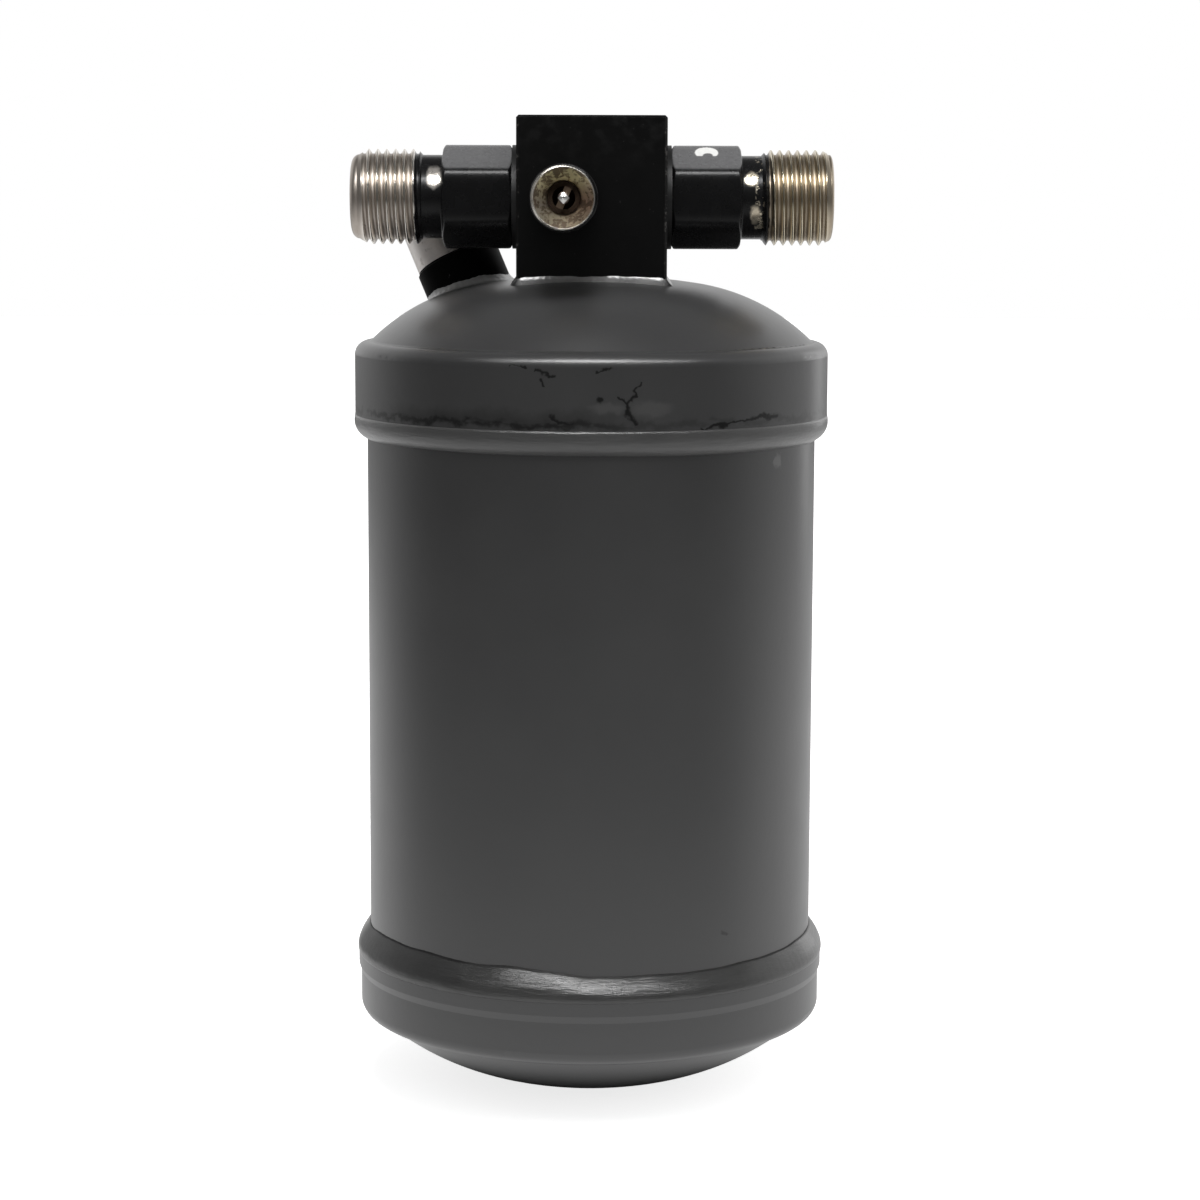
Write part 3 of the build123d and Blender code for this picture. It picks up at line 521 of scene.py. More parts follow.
def working_spring(node, origin, way, still, moving, radius, wire, turns):
    """A compression spring, wound between its still and moving ends along a way.

    Still and moving are the heights of its ends along the way. A ring of points, square to the
    wire, is carried along the helix, and a flat face closes each end.
    """
    steps_in_turn = 20
    ring_points = 10
    first = min(still, moving)
    rise = max(still, moving) - first - wire
    share = np.linspace(0, 1, steps_in_turn * turns + 1)[:, None, None]
    turned = share * turns * TURN
    side = np.cross(way, [1.0, 0.0, 0.0])
    side /= np.linalg.norm(side)
    other = np.cross(way, side)
    spoke = np.cos(turned) * side + np.sin(turned) * other
    run = (np.cos(turned) * other - np.sin(turned) * side) * radius * turns * TURN + way * rise
    run /= np.linalg.norm(run, axis=-1, keepdims=True)
    lift = np.cross(run, spoke)
    middle = origin + way * (first + wire / 2 + share * rise) + radius * spoke
    ring = around(ring_points)[None, :, None]
    points = middle + wire / 2 * (np.cos(ring) * spoke + np.sin(ring) * lift)
    rows, columns = points.shape[:2]
    index = np.arange(rows * columns).reshape(rows, columns)
    beside = np.roll(index, -1, axis=1)
    sides = np.stack([index[:-1], beside[:-1], beside[1:], index[1:]], axis=-1).reshape(-1, 4)
    faces = sides.tolist() + [index[0, ::-1].tolist(), index[-1].tolist()]
    spring = new_piece(node + "_coil", points.reshape(-1, 3), faces)
    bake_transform(spring)
    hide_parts(node)
    return spring


port_origin = np.array([service_offset, -block_half, port_height])
port_way = np.array([0.0, -1.0, 0.0])
core_spring = working_spring(
    "valve_core_spring",
    port_origin,
    port_way,
    still=core_coil_foot,
    moving=core_coil_top,
    radius=core_coil_radius,
    wire=core_coil_wire,
    turns=4,
)
relief_spring = working_spring(
    "relief_spring",
    relief_foot,
    relief_way,
    still=relief_coil_top,
    moving=relief_coil_foot,
    radius=relief_coil_radius,
    wire=relief_coil_wire,
    turns=5,
)


# Finishes
class Signal:
    """A value that varies over a surface. Arithmetic written on it becomes Math nodes."""

    def __init__(self, nodes, socket):
        self.nodes = nodes
        self.socket = socket

    def maths(self, operation, *values):
        return self.nodes.node("ShaderNodeMath", {"operation": operation}, dict(enumerate(values)))

    def __add__(self, other):
        return self.maths("ADD", self, other)

    def __radd__(self, other):
        return self.maths("ADD", other, self)

    def __sub__(self, other):
        return self.maths("SUBTRACT", self, other)

    def __rsub__(self, other):
        return self.maths("SUBTRACT", other, self)

    def __mul__(self, other):
        return self.maths("MULTIPLY", self, other)

    def __rmul__(self, other):
        return self.maths("MULTIPLY", other, self)

    def __truediv__(self, other):
        return self.maths("DIVIDE", self, other)

    def __rtruediv__(self, other):
        return self.maths("DIVIDE", other, self)

    def __pow__(self, other):
        return self.maths("POWER", self, other)

    def __rpow__(self, other):
        return self.maths("POWER", other, self)

    def size(self):
        """The value without its sign."""
        return self.maths("ABSOLUTE", self)

    def least(self, other):
        return self.maths("MINIMUM", self, other)

    def most(self, other):
        return self.maths("MAXIMUM", self, other)

    def over(self, edge, softness):
        """A mask that turns on as the value passes an edge, over a width of twice the softness."""
        return self.nodes.node(
            "ShaderNodeMapRange",
            {"interpolation_type": "SMOOTHSTEP"},
            {"Value": self, "From Min": edge - softness, "From Max": edge + softness},
        )

    def under(self, edge, softness):
        return 1 - self.over(edge, softness)


class ShaderTree:
    """A node tree, emptied, whose nodes all come from one method."""

    def __init__(self, owner):
        owner.use_nodes = True
        self.tree = owner.node_tree
        self.tree.nodes.clear()

    def node(self, kind, settings, values, output=0):
        """Adds a node: its settings first, then numbers, colours or signals by socket."""
        made = self.tree.nodes.new(kind)
        for setting, value in settings.items():
            setattr(made, setting, value)
        for socket, value in values.items():
            if isinstance(value, Signal):
                self.tree.links.new(value.socket, made.inputs[socket])
            elif made.inputs[socket].type == "RGBA":
                made.inputs[socket].default_value = (*value, 1)
            else:
                made.inputs[socket].default_value = value
        return Signal(self, made.outputs[output]) if made.outputs else None

    def parts(self, vector):
        """The three numbers of a vector."""
        return [self.node("ShaderNodeSeparateXYZ", {}, {0: vector}, output=axis) for axis in "XYZ"]


class Finish(ShaderTree):
    """One finish, worked out in millimetres of the object's own coordinates."""

    def __init__(self, name):
        self.material = bpy.data.materials.new(name)
        super().__init__(self.material)
        here = self.node("ShaderNodeTexCoord", {}, {}, output="Object")
        self.place = self.scaled(here, 1 / MM)
        self.x, self.y, self.z = self.parts(self.place)

    def scaled(self, vector, times):
        """A vector made longer or shorter."""
        return self.node("ShaderNodeVectorMath", {"operation": "SCALE"}, {0: vector, "Scale": times})

    def noise(self, size, detail=3.0, roughness=0.5, stretch=(1, 1, 1), distortion=0.0):
        """Cloudy variation from nought to one whose lumps are about size millimetres apart."""
        spread = tuple(way / size for way in stretch)
        spot = self.node("ShaderNodeVectorMath", {"operation": "MULTIPLY"}, {0: self.place, 1: spread})
        values = {"Vector": spot, "Scale": 1.0, "Detail": detail}
        values.update({"Roughness": roughness, "Distortion": distortion})
        return self.node("ShaderNodeTexNoise", {}, values)

    def cells(self, size):
        """Distance from the middle of the nearest of many cells, about size millimetres apart."""
        return self.node("ShaderNodeTexVoronoi", {}, {"Vector": self.place, "Scale": 1 / size})

    def mixed(self, share, plain, other):
        """Two colours, mixed by a share from nought to one."""
        values = {0: share, 6: plain, 7: other}
        return self.node("ShaderNodeMix", {"data_type": "RGBA"}, values, output=2)

    def shaken_front(self, lump, reach):
        """The front's x and z, each pushed to and fro by up to a reach, so that marks run ragged."""
        values = {"Vector": self.scaled(self.place, 1 / lump), "Scale": 1.0, "Detail": 3.0}
        cloud = self.node("ShaderNodeTexNoise", {}, values, output="Color")
        push_x = self.node("ShaderNodeSeparateColor", {}, {0: cloud}, output="Red")
        push_z = self.node("ShaderNodeSeparateColor", {}, {0: cloud}, output="Green")
        return self.x + (push_x - 0.5) * (2 * reach), self.z + (push_z - 0.5) * (2 * reach)

    def stroke(self, spot, start, end, width):
        """A thin mark between two points of the front, each given as (x, z).

        The nearest point of the line between them is found by its share of the way, kept between
        nought and one, and the mark is where that point is nearer than its width.
        """
        run_x = end[0] - start[0]
        run_z = end[1] - start[1]
        whole = run_x**2 + run_z**2
        from_start_x = spot[0] - start[0]
        from_start_z = spot[1] - start[1]
        share = (from_start_x * (run_x / whole) + from_start_z * (run_z / whole)).most(0).least(1)
        gap_x = from_start_x - share * run_x
        gap_z = from_start_z - share * run_z
        return ((gap_x * gap_x + gap_z * gap_z) ** 0.5).under(width, width * 0.7)

    def blot(self, spot, centre, reach_x, reach_z):
        """A soft blot round a point of the front, given as (x, z), with a reach each way."""
        gap_x = (spot[0] - centre[0]) * (1 / reach_x)
        gap_z = (spot[1] - centre[1]) * (1 / reach_z)
        return ((gap_x * gap_x + gap_z * gap_z) ** 0.5).under(1.0, 0.45)

    def done(self, colour, roughness, metallic, height, constants=None):
        """Closes the finish: a Principled surface whose bump height is in millimetres."""
        bump = self.node("ShaderNodeBump", {}, {"Strength": 1.0, "Distance": MM, "Height": height})
        values = {"Base Color": colour, "Roughness": roughness, "Metallic": metallic, "Normal": bump}
        values.update(constants or {})
        surface = self.node("ShaderNodeBsdfPrincipled", {}, values)
        self.node("ShaderNodeOutputMaterial", {}, {"Surface": surface})
        return self.material


# Marks in the paint of the canister's front, as (x, z); a crack's width comes last
cracks = [
    ((8.0, 53.1), (7.1, 52.2), 0.12),
    ((7.1, 52.2), (6.9, 50.9), 0.15),
    ((6.9, 50.9), (5.8, 49.8), 0.20),
    ((5.8, 49.8), (5.6, 48.9), 0.27),
    ((5.6, 48.9), (6.5, 47.7), 0.30),
    ((6.5, 47.7), (7.4, 46.8), 0.27),
    ((5.8, 49.8), (4.5, 50.9), 0.14),
    ((-6.1, 47.9), (-5.1, 47.2), 0.22),
    ((-5.1, 47.2), (-3.0, 46.9), 0.24),
    ((17.7, 45.8), (19.3, 46.0), 0.20),
    ((19.3, 46.0), (21.6, 46.5), 0.34),
    ((21.6, 46.5), (26.1, 47.1), 0.18),
    ((26.1, 47.1), (30.1, 47.2), 0.36),
    ((-8.6, 55.1), (-5.6, 54.5), 0.18),
    ((-7.8, 54.0), (-7.6, 52.4), 0.18),
    ((-12.7, 55.8), (-10.1, 55.8), 0.10),
    ((1.1, 55.2), (3.3, 55.6), 0.14),
]
knock = (1.5, 50.6)
rubbed_left = (2.4, 49.2)
rubbed_right = (9.5, 49.1)
crevice_level = 46.6
# Height of a dark band of painted shade along the crease above the skirt's edge
painted_shade_level = 47.2
smudge_place = (30.6, 39.6)
speck_place = (22.3, -37.8)


def coated_canister(name, marked):
    """Dipped satin paint: clouded charcoal with a fine orange peel, and a few knocks.

    The top cap has the marks that the ring weld's heat and handling left: cracks, a crevice that
    breaks up along the skirt's edge, and two rubbed places beside it. Along the crease above the
    crevice, on the left, a dark band is painted shade. Cracks give nothing back, so they are black
    and partly metallic, which takes the paint's own shine off them.
    """
    paint = Finish(name)
    clouds = paint.noise(26, 4.0, 0.55)
    blotches = paint.noise(7, 3.0, 0.5)
    peel = paint.noise(1.1, 2.0, 0.5)
    pits = paint.noise(0.35, 2.0, 0.6)
    colour = paint.mixed(clouds, (0.031, 0.031, 0.032), (0.043, 0.043, 0.043))
    roughness = 0.27 + 0.08 * clouds + 0.05 * blotches
    height = 0.010 * peel + 0.003 * pits + 0.015 * blotches
    front = paint.y.under(-6, 4)
    spot = paint.shaken_front(1.7, 1.1)
    if marked:
        dark = paint.blot(spot, knock, 0.5, 0.4)
        for start, end, width in cracks:
            dark = dark.most(paint.stroke(spot, start, end, width))
        level = paint.z + (paint.noise(4.0, 4.0, 0.65) - 0.5) * 4.0
        broken = paint.noise(2.2, 3.0, 0.6, (0.5, 0.5, 1)).over(0.42, 0.07)
        crevice = (level - crevice_level).size().under(0.50, 0.40) * broken
        crevice = crevice * (1 - 0.65 * paint.x.over(2, 8))
        # Painted shade: a dark band along the crease above the skirt's edge, on the left of the front
        shade = (level - painted_shade_level).size().under(1.2, 1.2)
        shade = shade * paint.x.under(3, 8) * paint.x.over(-33, 4)
        dark = dark.most(0.8 * crevice) * front
        worn = paint.blot(spot, rubbed_left, 2.6, 0.8).most(paint.blot(spot, rubbed_right, 3.2, 1.1))
        worn = worn * front
        colour = paint.mixed(shade * front * 0.7, colour, (0.009, 0.009, 0.009))
        colour = paint.mixed(worn * 0.65, colour, (0.070, 0.070, 0.069))
        colour = paint.mixed(dark, colour, (0.001, 0.001, 0.001))
        height = height - 0.012 * dark
        unlit = dark * 0.42
    else:
        smudge = paint.blot(spot, smudge_place, 0.5, 1.0) * front
        speck = paint.blot(spot, speck_place, 0.3, 0.3) * front
        colour = paint.mixed(smudge * 0.7, colour, (0.11, 0.11, 0.11))
        colour = paint.mixed(speck * 0.9, colour, (0.004, 0.004, 0.004))
        unlit = 0.0
    return paint.done(colour, roughness, unlit, height, {"Specular IOR Level": 0.8})


def ring_weld_coat(name, dark, light, left_shade_share):
    """Satin paint over a ring weld: streaked along the run, and darker and rougher at the left of the
    front as painted shade, where the left shade share is one."""
    paint = Finish(name)
    clouds = paint.noise(9, 4.0, 0.6)
    streaks = paint.noise(1.0, 4.0, 0.65, (0.12, 0.12, 1.0))
    grit = paint.noise(0.5, 2.0, 0.5)
    colour = paint.mixed(clouds * 0.6 + streaks * 0.4, dark, light)
    level = paint.z + (paint.noise(3.0, 3.0, 0.6) - 0.5) * 1.2
    # Painted shade: the bead's front is darker at the left, where it reflects the dark room
    painted_left_shade = paint.x.under(-20.5, 1.2) * paint.y.under(-4, 4) * level.over(-45.9, 0.5) * left_shade_share
    colour = paint.mixed(painted_left_shade * 0.85, colour, (0.004, 0.004, 0.004))
    roughness = 0.27 + 0.10 * clouds + 0.20 * painted_left_shade
    height = 0.15 * streaks + 0.012 * grit + 0.02 * clouds
    return paint.done(colour, roughness, 0.0, height, {"Specular IOR Level": 0.65})


def block_black(name, gloss, least_rough):
    """Deep black paint, with specks and chipped edges on the block, and lighter rubbed patches near
    its top that are painted light.
    """
    paint = Finish(name)
    clouds = paint.noise(9, 4.0, 0.6)
    peel = paint.noise(0.9, 2.0, 0.5)
    specks = paint.noise(0.55, 1.0, 0.4).over(0.79, 0.02)
    # Painted light: lighter patches only near the top, so the block is lighter at the top
    painted_top_light = paint.noise(2.2, 5.0, 0.65).over(0.55, 0.10) * paint.z.over(90, 7)
    edge = block_half - 0.4
    side_edge = paint.x.size().over(edge, 0.25) * paint.y.size().over(edge, 0.25)
    side_edge = side_edge * paint.x.size().under(block_half + 0.3, 0.1)
    chips = side_edge * paint.noise(1.0, 3.0, 0.6).over(0.62, 0.03)
    colour = paint.mixed(clouds, (0.0018, 0.0018, 0.0020), (0.0042, 0.0042, 0.0042))
    colour = paint.mixed(painted_top_light * 0.5, colour, (0.015, 0.015, 0.015))
    colour = paint.mixed(specks * 0.7, colour, (0.04, 0.04, 0.04))
    colour = paint.mixed(chips * 0.6, colour, (0.11, 0.105, 0.10))
    roughness = least_rough + 0.08 * clouds + 0.06 * painted_top_light
    height = 0.010 * peel + 0.010 * specks - 0.04 * chips + 0.010 * clouds
    return paint.done(colour, roughness, 0.0, height, {"Specular IOR Level": gloss})


def foot_weld_coat(name, dark, light):
    """The paint over a fillet on the dome: thin and shiny, in the light tones given, which are a
    painted highlight, and darkened as painted shade where the block's corners are.
    """
    paint = Finish(name)
    clouds = paint.noise(3.0, 4.0, 0.6)
    grit = paint.noise(0.5, 2.0, 0.6)
    edge = block_half - 0.3
    corner = paint.x.size().over(edge, 0.5) * paint.y.size().over(edge, 0.5)
    colour = paint.mixed(clouds, dark, light)
    # Painted shade: the fillet goes dark in the block's corners
    colour = paint.mixed(corner, colour, (0.003, 0.003, 0.003))
    roughness = 0.18 + 0.12 * clouds + 0.3 * corner
    return paint.done(colour, roughness, 0.0, 0.02 * grit + 0.03 * clouds, {"Specular IOR Level": 1.0})


# Marks on the fittings: bare patches on the necks, as (x, z), the paint's edge and the crescent,
# which is what an outer round leaves of an inner one. Sine and cosine are a hex flat's tilt.
left_neck_bare = (-26.4, 85.3)
right_neck_bare = (26.6, 85.2)
right_neck_bare_below = (27.3, 79.4)
painted_reach = 29.7
hex_sine = 0.866
hex_cosine = 0.5
crescent_middle = 19.2
outer_round_rise = 1.1
outer_round = 1.95
inner_round_shift = 0.2
inner_round_rise = 0.1
inner_round = 0.85


def painted_fitting():
    """A plated steel fitting, painted black with the block up to its first threads.

    The paint's edge wanders round the thread. Both necks are bare in patches, the thread keeps
    grime in its roots and is stained golden on the outlet, dust and painted light grey the hex flats
    that face up, and the right hex carries an inspector's crescent of white paint.
    """
    steel = Finish("fitting_plated_and_painted")
    reach = steel.x.size()
    rise = steel.z - port_height
    out = (steel.y * steel.y + rise * rise) ** 0.5
    clouds = steel.noise(3.0, 4.0, 0.6)
    fine = steel.noise(0.5, 3.0, 0.6)
    turned = steel.noise(0.22, 2.0, 0.5, stretch=(1, 0.05, 0.05))
    painted = (reach + (steel.noise(2.4, 3.0, 0.6) - 0.5) * 0.9).under(painted_reach, 0.12)
    spot = steel.shaken_front(1.5, 0.7)
    bare = steel.blot(spot, left_neck_bare, 1.1, 1.5)
    bare = bare.most(steel.blot(spot, right_neck_bare, 0.9, 1.0))
    bare = bare.most(steel.blot(spot, right_neck_bare_below, 0.8, 1.3))
    flaked = steel.x.over(27.4, 0.2) * steel.x.under(28.7, 0.2)
    flaked = flaked * steel.noise(1.3, 3.0, 0.6).over(0.58, 0.03)
    painted = painted * (1 - bare.most(flaked) * steel.y.under(-2, 1))
    painted = painted * out.over(fitting_mouth + 0.5, 0.1)
    root = out.under(7.5, 0.35) * reach.over(28.6, 0.3)
    metal = steel.mixed(clouds, (0.88, 0.85, 0.80), (0.66, 0.61, 0.55))
    golden = steel.mixed(clouds, (0.76, 0.70, 0.52), (0.46, 0.37, 0.25))
    metal = steel.mixed(steel.x.over(0, 1) * 0.75, metal, golden)
    metal = steel.mixed(fine * 0.22, metal, (0.34, 0.28, 0.22))
    metal = steel.mixed(root * 0.50, metal, (0.12, 0.075, 0.050))
    black = steel.mixed(clouds, (0.0050, 0.0050, 0.0054), (0.0095, 0.0095, 0.0100))
    front_face = rise * hex_sine - steel.y * hex_cosine
    back_face = rise * hex_sine + steel.y * hex_cosine
    # Dust and painted light: the hex flats that face up are greyed, for dust and for the light they
    # catch from above
    dust_and_top_light = front_face.most(back_face).over(hex_flat - 0.25, 0.12) * (0.75 + 0.5 * (fine - 0.5))
    black = steel.mixed(dust_and_top_light, black, (0.17, 0.17, 0.173))
    along = steel.x - crescent_middle
    up_flat = steel.y * hex_sine + rise * hex_cosine
    from_outer = up_flat - outer_round_rise
    from_inner = up_flat - inner_round_rise
    inner_along = along - inner_round_shift
    outer_arc = (along * along + from_outer * from_outer) ** 0.5
    inner_arc = (inner_along * inner_along + from_inner * from_inner) ** 0.5
    crescent = outer_arc.under(outer_round, 0.12) * inner_arc.over(inner_round, 0.15)
    crescent = crescent * up_flat.over(0.0, 0.2) * front_face.over(hex_flat - 0.4, 0.1)
    colour = steel.mixed(painted, metal, black)
    colour = steel.mixed(crescent, colour, (0.78, 0.78, 0.76))
    metallic = (1 - painted) * (1 - crescent)
    bare_rough = 0.16 + 0.10 * clouds + 0.20 * root
    roughness = bare_rough * (1 - painted) + (0.22 + 0.10 * clouds) * painted
    height = 0.010 * steel.noise(0.9, 2.0) * painted + 0.03 * painted + 0.010 * turned * (1 - painted)
    return steel.done(colour, roughness, metallic, height, {"Specular IOR Level": 0.25})


def stained_port():
    """The service port: its side is painted with the block, and its plating shows at the mouth,
    bright at the rim, stained golden and brown to the right. The cone's stain is lighter above as a
    painted reflection, and darker below and towards the bore as painted shade."""
    steel = Finish("port_stained_plating")
    across = steel.x - service_offset
    rise = steel.z - port_height
    out = (across * across + rise * rise) ** 0.5
    clouds = steel.noise(1.9, 4.0, 0.65, distortion=0.8)
    streaks = steel.noise(0.7, 3.0, 0.6)
    cone = out.under(4.9, 0.10)
    upper = (rise / out).over(0.3, 0.7)
    right = (across / out).over(0.3, 0.7)
    metal = steel.mixed(clouds, (0.76, 0.73, 0.68), (0.56, 0.52, 0.46))
    # Painted reflection and shade: the cone's stain is lighter above, and darker below and towards the
    # bore
    stain = steel.mixed(upper, (0.50, 0.45, 0.37), (0.74, 0.67, 0.38))
    stain = steel.mixed(right * (1 - upper), stain, (0.56, 0.38, 0.28))
    stain = steel.mixed((0 - rise / out).over(0.5, 0.5) * 0.7, stain, (0.30, 0.26, 0.16))
    spots = (clouds + 0.5 * (streaks - 0.5)).over(0.51, 0.07)
    stain = steel.mixed(spots * 0.85, stain, (0.11, 0.07, 0.045))
    stain = steel.mixed(out.under(3.0, 0.35) * 0.6, stain, (0.07, 0.04, 0.025))
    colour = steel.mixed(cone * 0.95, metal, stain)
    painted = out.over(5.05, 0.06) * steel.y.over(-25.2, 0.1)
    colour = steel.mixed(painted, colour, (0.003, 0.003, 0.003))
    roughness = 0.20 + 0.14 * clouds + 0.14 * cone
    height = 0.012 * streaks + 0.03 * clouds * cone
    return steel.done(colour, roughness, 1 - painted, height, {"Specular IOR Level": 0.25})


def stained_core():
    """The valve core's brass: brown on the bridge, and near black on the rim and behind its front face,
    as painted shade inside the port.
    """
    brass = Finish("core_oily_brass")
    clouds = brass.noise(1.2, 4.0, 0.6)
    fine = brass.noise(0.3, 3.0, 0.6)
    across = brass.x - service_offset
    rise = brass.z - port_height
    rim = ((across * across + rise * rise) ** 0.5).over(1.85, 0.15)
    # Painted shade: near black at the rim and behind the core's front face
    painted_inner_shade = brass.y.over(-21.7, 0.25).most(rim * 0.9)
    colour = brass.mixed(clouds, (0.30, 0.23, 0.17), (0.13, 0.085, 0.055))
    colour = brass.mixed(painted_inner_shade * 0.92, colour, (0.012, 0.006, 0.004))
    roughness = 0.34 + 0.14 * clouds + 0.2 * painted_inner_shade
    return brass.done(colour, roughness, 1.0, 0.02 * fine + 0.02 * clouds)


def squared_pin():
    """The pin's steel: its head is dressed to a bright square on edge, dark at the corners left
    round it, with a small punched centre."""
    steel = Finish("pin_bright_steel")
    across = steel.x - service_offset
    rise = steel.z - port_height
    face = (across.size() + rise.size() * 0.9).under(0.92, 0.08)
    centre = ((across * across + rise * rise) ** 0.5).under(0.16, 0.06)
    clouds = steel.noise(0.7, 3.0, 0.6)
    bright = steel.mixed(clouds, (0.92, 0.91, 0.89), (0.70, 0.69, 0.66))
    colour = steel.mixed(face, (0.10, 0.08, 0.07), bright)
    colour = steel.mixed(centre * 0.8, colour, (0.12, 0.10, 0.09))
    return steel.done(colour, 0.24 + 0.2 * clouds, 1.0, 0.01 * clouds + 0.03 * face - 0.04 * centre)


def worn_metal(name, light, dark, roughness, lump, stained=0.25, depth=0.012, metallic=1.0):
    """Bare metal with clouded tone, fine tool marks and a little staining."""
    metal = Finish(name)
    clouds = metal.noise(lump, 4.0, 0.6)
    fine = metal.noise(lump * 0.15, 3.0, 0.6)
    spots = metal.noise(lump * 0.6, 3.0, 0.6).over(0.64, 0.06)
    colour = metal.mixed(clouds, light, dark)
    colour = metal.mixed(spots * stained, colour, (0.10, 0.08, 0.06))
    rough = roughness + 0.14 * clouds + 0.12 * spots
    return metal.done(colour, rough, metallic, depth * fine + depth * clouds)


def dull_solid(name, light, dark, roughness, lump, depth):
    """Rubber, nylon or felt: clouded colour and a surface grain of the given lump and depth."""
    solid = Finish(name)
    clouds = solid.noise(lump * 6, 4.0, 0.6)
    grain = solid.noise(lump, 3.0, 0.6)
    colour = solid.mixed(0.6 * clouds + 0.4 * grain, light, dark)
    return solid.done(colour, roughness + 0.1 * grain, 0.0, depth * grain)


def bead_fill():
    """Desiccant beads: rounded cells two millimetres across, each its own tint, with painted shade
    where they meet.
    """
    beads = Finish("desiccant_bead_fill")
    dome = 1 - beads.cells(2.0) * 1.4
    tint = beads.node(
        "ShaderNodeTexVoronoi", {}, {"Vector": beads.place, "Scale": 0.5}, output="Color"
    )
    shade = beads.node("ShaderNodeSeparateColor", {}, {0: tint})
    colour = beads.mixed(shade, (0.62, 0.50, 0.34), (0.74, 0.66, 0.52))
    # Painted shade: darker where the beads meet
    colour = beads.mixed(dome.under(0.25, 0.2), colour, (0.10, 0.08, 0.05))
    return beads.done(colour, 0.7 + 0.1 * shade, 0.0, 0.5 * dome.most(0))


finishes = {
    "canister_paint": coated_canister("canister_satin", marked=False),
    "block_paint": block_black("block_black", gloss=0.2, least_rough=0.30),
    "fitting_steel": painted_fitting(),
    "port_steel": stained_port(),
    "washer_seal": dull_solid(
        "washer_black", (0.004, 0.004, 0.004), (0.012, 0.012, 0.012), 0.45, 0.5, 0.02
    ),
    "relief_steel": worn_metal(
        "relief_bare_steel",
        (0.88, 0.85, 0.82),
        (0.56, 0.51, 0.48),
        roughness=0.32,
        lump=2.2,
        stained=0.30,
        depth=0.02,
        metallic=0.80,
    ),
    "core_brass": stained_core(),
    "pin_steel": squared_pin(),
    "spring_steel": worn_metal("spring_wire", (0.50, 0.50, 0.50), (0.34, 0.33, 0.32), 0.28, 1.5),
    "seal_rubber": dull_solid(
        "seal_black_rubber", (0.012, 0.013, 0.012), (0.024, 0.025, 0.024), 0.6, 0.4, 0.01
    ),
    "inner_steel": worn_metal("inner_pressed_steel", (0.52, 0.51, 0.49), (0.38, 0.37, 0.35), 0.36, 4.0),
    "strainer_plastic": dull_solid(
        "strainer_nylon", (0.72, 0.70, 0.64), (0.60, 0.58, 0.52), 0.45, 0.6, 0.01
    ),
    "filter_felt": dull_solid(
        "filter_wool_felt", (0.66, 0.63, 0.56), (0.46, 0.43, 0.37), 0.9, 0.5, 0.15
    ),
    "desiccant_beads": bead_fill(),
}
marked_paint = coated_canister("canister_satin_marked", marked=True)
boss_paint = block_black("boss_dull_black", gloss=0.03, least_rough=0.50)
# Painted reflection: the top ring's paint is lighter than the canister's, for the floor that its
# downward face reflects
top_ring_lightened_paint = ring_weld_coat(
    "top_ring_painted_reflection", (0.042, 0.042, 0.042), (0.085, 0.085, 0.084), left_shade_share=0.0
)
# The lower ring carries painted shade at the left of its front
bottom_ring_paint = ring_weld_coat(
    "bottom_ring_satin", (0.024, 0.024, 0.024), (0.046, 0.046, 0.045), left_shade_share=1.0
)
# Painted highlight: the fillets' light tones stand for the bright line along the block's foot and the
# bright band below the boss
block_weld_highlight_paint = foot_weld_coat("block_weld_painted_highlight", (0.07, 0.07, 0.07), (0.17, 0.17, 0.168))
boss_weld_highlight_paint = foot_weld_coat("boss_weld_painted_highlight", (0.22, 0.22, 0.22), (0.42, 0.42, 0.415))

for node in cad_nodes.values():
    slot_name = node.material_slots[0].material.name.split(".")[0]
    if slot_name in finishes:
        node.material_slots[0].material = finishes[slot_name]
cad_nodes["top_cap"].material_slots[0].material = marked_paint
cad_nodes["relief_boss"].material_slots[0].material = boss_paint
for piece, slot, material in (
    (top_ring, "canister_paint", top_ring_lightened_paint),
    (bottom_ring, "canister_paint", bottom_ring_paint),
    (block_weld, "block_paint", block_weld_highlight_paint),
    (boss_weld, "block_paint", boss_weld_highlight_paint),
    (inlet, "fitting_steel", finishes["fitting_steel"]),
    (outlet, "fitting_steel", finishes["fitting_steel"]),
    (service_port, "port_steel", finishes["port_steel"]),
    (core_spring, "spring_steel", finishes["spring_steel"]),
    (relief_spring, "spring_steel", finishes["spring_steel"]),
):
    piece.data.materials.append(material)


# Floor, world, lights and camera. The room is dim behind the camera, further round at the left.
lean_left = 0.2
dim_edge = -0.15
dim_softness = 0.5


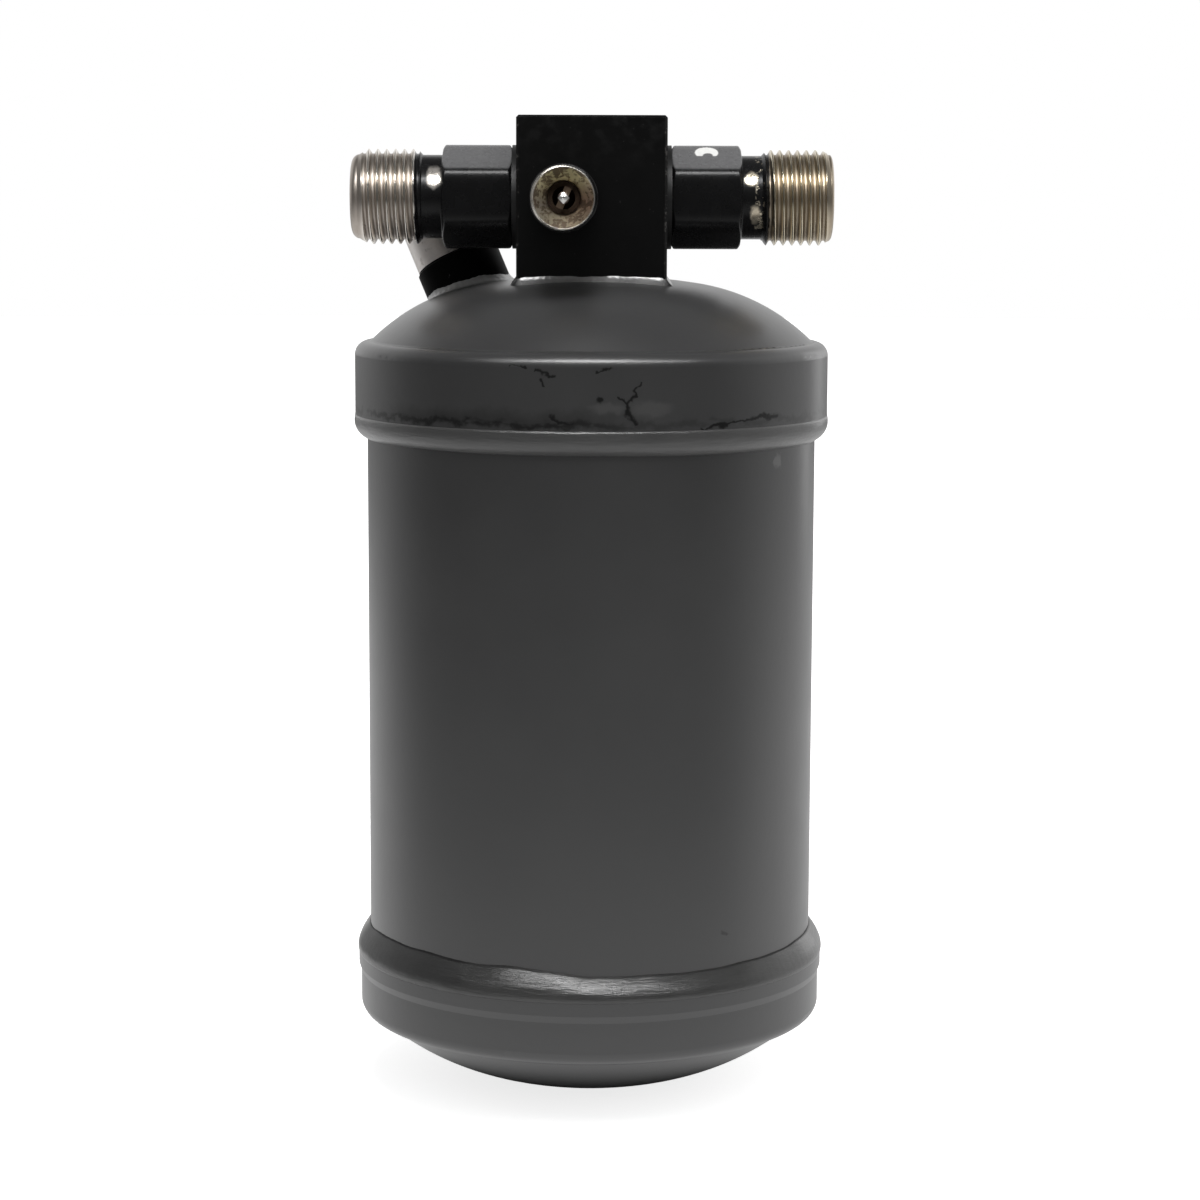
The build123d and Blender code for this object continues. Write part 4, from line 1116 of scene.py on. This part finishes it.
def pale_floor():
    """A flat round floor that passes into the white beyond it, but for the object's shadow.

    The object sees it glow as painted light, a table bright close by and dimmer towards the camera's
    side of the room, with a painted shadow right under the object. The camera sees white paper,
    which glows so far that only the shadow is left on it.
    """
    level = float(cad_low.z) - 0.1 * MM
    bpy.ops.mesh.primitive_circle_add(vertices=96, radius=3.0, fill_type="NGON", location=(0, 0, level))
    floor = bpy.context.object
    floor.name = "pale_floor"
    white = Finish("floor_white")
    away = (white.x * white.x + white.y * white.y) ** 0.5
    glow = 0.78 + 0.22 * away.over(330, 250)
    seen = white.node("ShaderNodeLightPath", {}, {}, output="Is Camera Ray")
    paper = white.node(
        "ShaderNodeBsdfPrincipled",
        {},
        {
            "Base Color": (0.88, 0.88, 0.88),
            "Roughness": 0.8,
            "Specular IOR Level": 0.1,
            "Emission Color": white.mixed(glow, (0, 0, 0), (1, 1, 1)),
            "Emission Strength": 1.0,
        },
    )
    # Painted light: the floor glows for the object, with a painted shadow where it goes dark under the
    # object
    front = ((0 - white.y - lean_left * white.x) / away).over(dim_edge, dim_softness)
    beside = (1 - front) * 1.7 * 0.37 ** (away / 800)
    ahead = front * 1.25 * 0.37 ** (away / 330)
    lit = (beside + ahead).least(1) * away.over(30, 8)
    table = white.node("ShaderNodeEmission", {}, {"Color": white.mixed(lit, (0, 0, 0), (1, 1, 1))})
    surface = white.node("ShaderNodeMixShader", {}, {0: seen, 1: table, 2: paper})
    white.node("ShaderNodeOutputMaterial", {}, {"Surface": surface})
    floor.data.materials.append(white.material)


def white_world(room_light, front_dim, ceiling_dim):
    """Pale light, a little stronger from the right. The camera and glass see plain white, and so
    does metal, but for the dim ceiling and the dim room behind the camera, which reaches further
    round at the left."""
    world = bpy.data.worlds.new("white_studio")
    bpy.context.scene.world = world
    studio = ShaderTree(world)
    way = studio.node("ShaderNodeTexCoord", {}, {}, output="Generated")
    sideways, depth, rise = studio.parts(way)
    front = (0 - depth - lean_left * sideways).over(dim_edge, dim_softness)
    ceiling = rise.over(0.62, 0.15)
    mirror = (1 - front_dim * front) * (1 - ceiling_dim * ceiling)
    seen = studio.node("ShaderNodeLightPath", {}, {}, output="Is Camera Ray")
    glass = studio.node("ShaderNodeLightPath", {}, {}, output="Is Transmission Ray")
    glossy = studio.node("ShaderNodeLightPath", {}, {}, output="Is Glossy Ray")
    plain = seen.most(glass)
    room = room_light * (1 + 0.7 * sideways) * (1.3 - 0.8 * rise)
    level = plain + (1 - plain) * (glossy * mirror + (1 - glossy) * room)
    light = studio.node("ShaderNodeBackground", {}, {"Color": (1.0, 1.0, 1.0), "Strength": level})
    studio.node("ShaderNodeOutputWorld", {}, {"Surface": light})


def soft_light(name, place, aim, width, height, watts, lights=True, shines=True):
    """A rectangular soft light at a place, turned to an aim. It can light dull surfaces, shine in
    polished ones, or both."""
    lamp = bpy.data.lights.new(name, "AREA")
    lamp.shape = "RECTANGLE"
    lamp.size = width
    lamp.size_y = height
    lamp.energy = watts
    holder = bpy.data.objects.new(name, lamp)
    holder.visible_camera = False
    holder.visible_diffuse = lights
    holder.visible_glossy = shines
    holder.location = place
    holder.rotation_euler = (Vector(aim) - Vector(place)).to_track_quat("-Z", "Y").to_euler()
    bpy.context.scene.collection.objects.link(holder)


pale_floor()
white_world(room_light=0.53, front_dim=0.90, ceiling_dim=0.82)
upper_cap = (0, 0, 0.06)
soft_light("overhead_key", (-0.02, -0.10, 1.03), upper_cap, 0.30, 0.30, 7.6, shines=False)
soft_light("front_bar", (0.0, -0.64, 0.82), upper_cap, 1.7, 0.26, 1.6)
soft_light("front_bar_core", (0.0, -0.62, 0.80), upper_cap, 1.4, 0.13, 7.0, lights=False)
soft_light("front_bar_middle", (-0.04, -0.61, 0.79), upper_cap, 0.5, 0.16, 3.5, lights=False)
soft_light("right_strip", (0.60, 0.75, 0.05), (0, 0, 0), 0.15, 0.7, 0.5)

# The camera that the photograph's outline gave
camera_place = (0.0016, -0.522, 0.08485)
camera_tilt = math.radians(82.2)
camera_roll = math.radians(0.2)
view = bpy.data.cameras.new("photograph_camera")
view.sensor_width = 36.0
view.lens = 91.83
view.clip_start = 0.05
view.clip_end = 20.0
camera = bpy.data.objects.new("photograph_camera", view)
camera.location = camera_place
tilt = Matrix.Rotation(camera_tilt, 3, "X")
roll = Matrix.Rotation(camera_roll, 3, "Z")
camera.rotation_euler = (tilt @ roll).to_euler()
bpy.context.scene.collection.objects.link(camera)
bpy.context.scene.camera = camera
bpy.context.scene.view_settings.view_transform = "Standard"
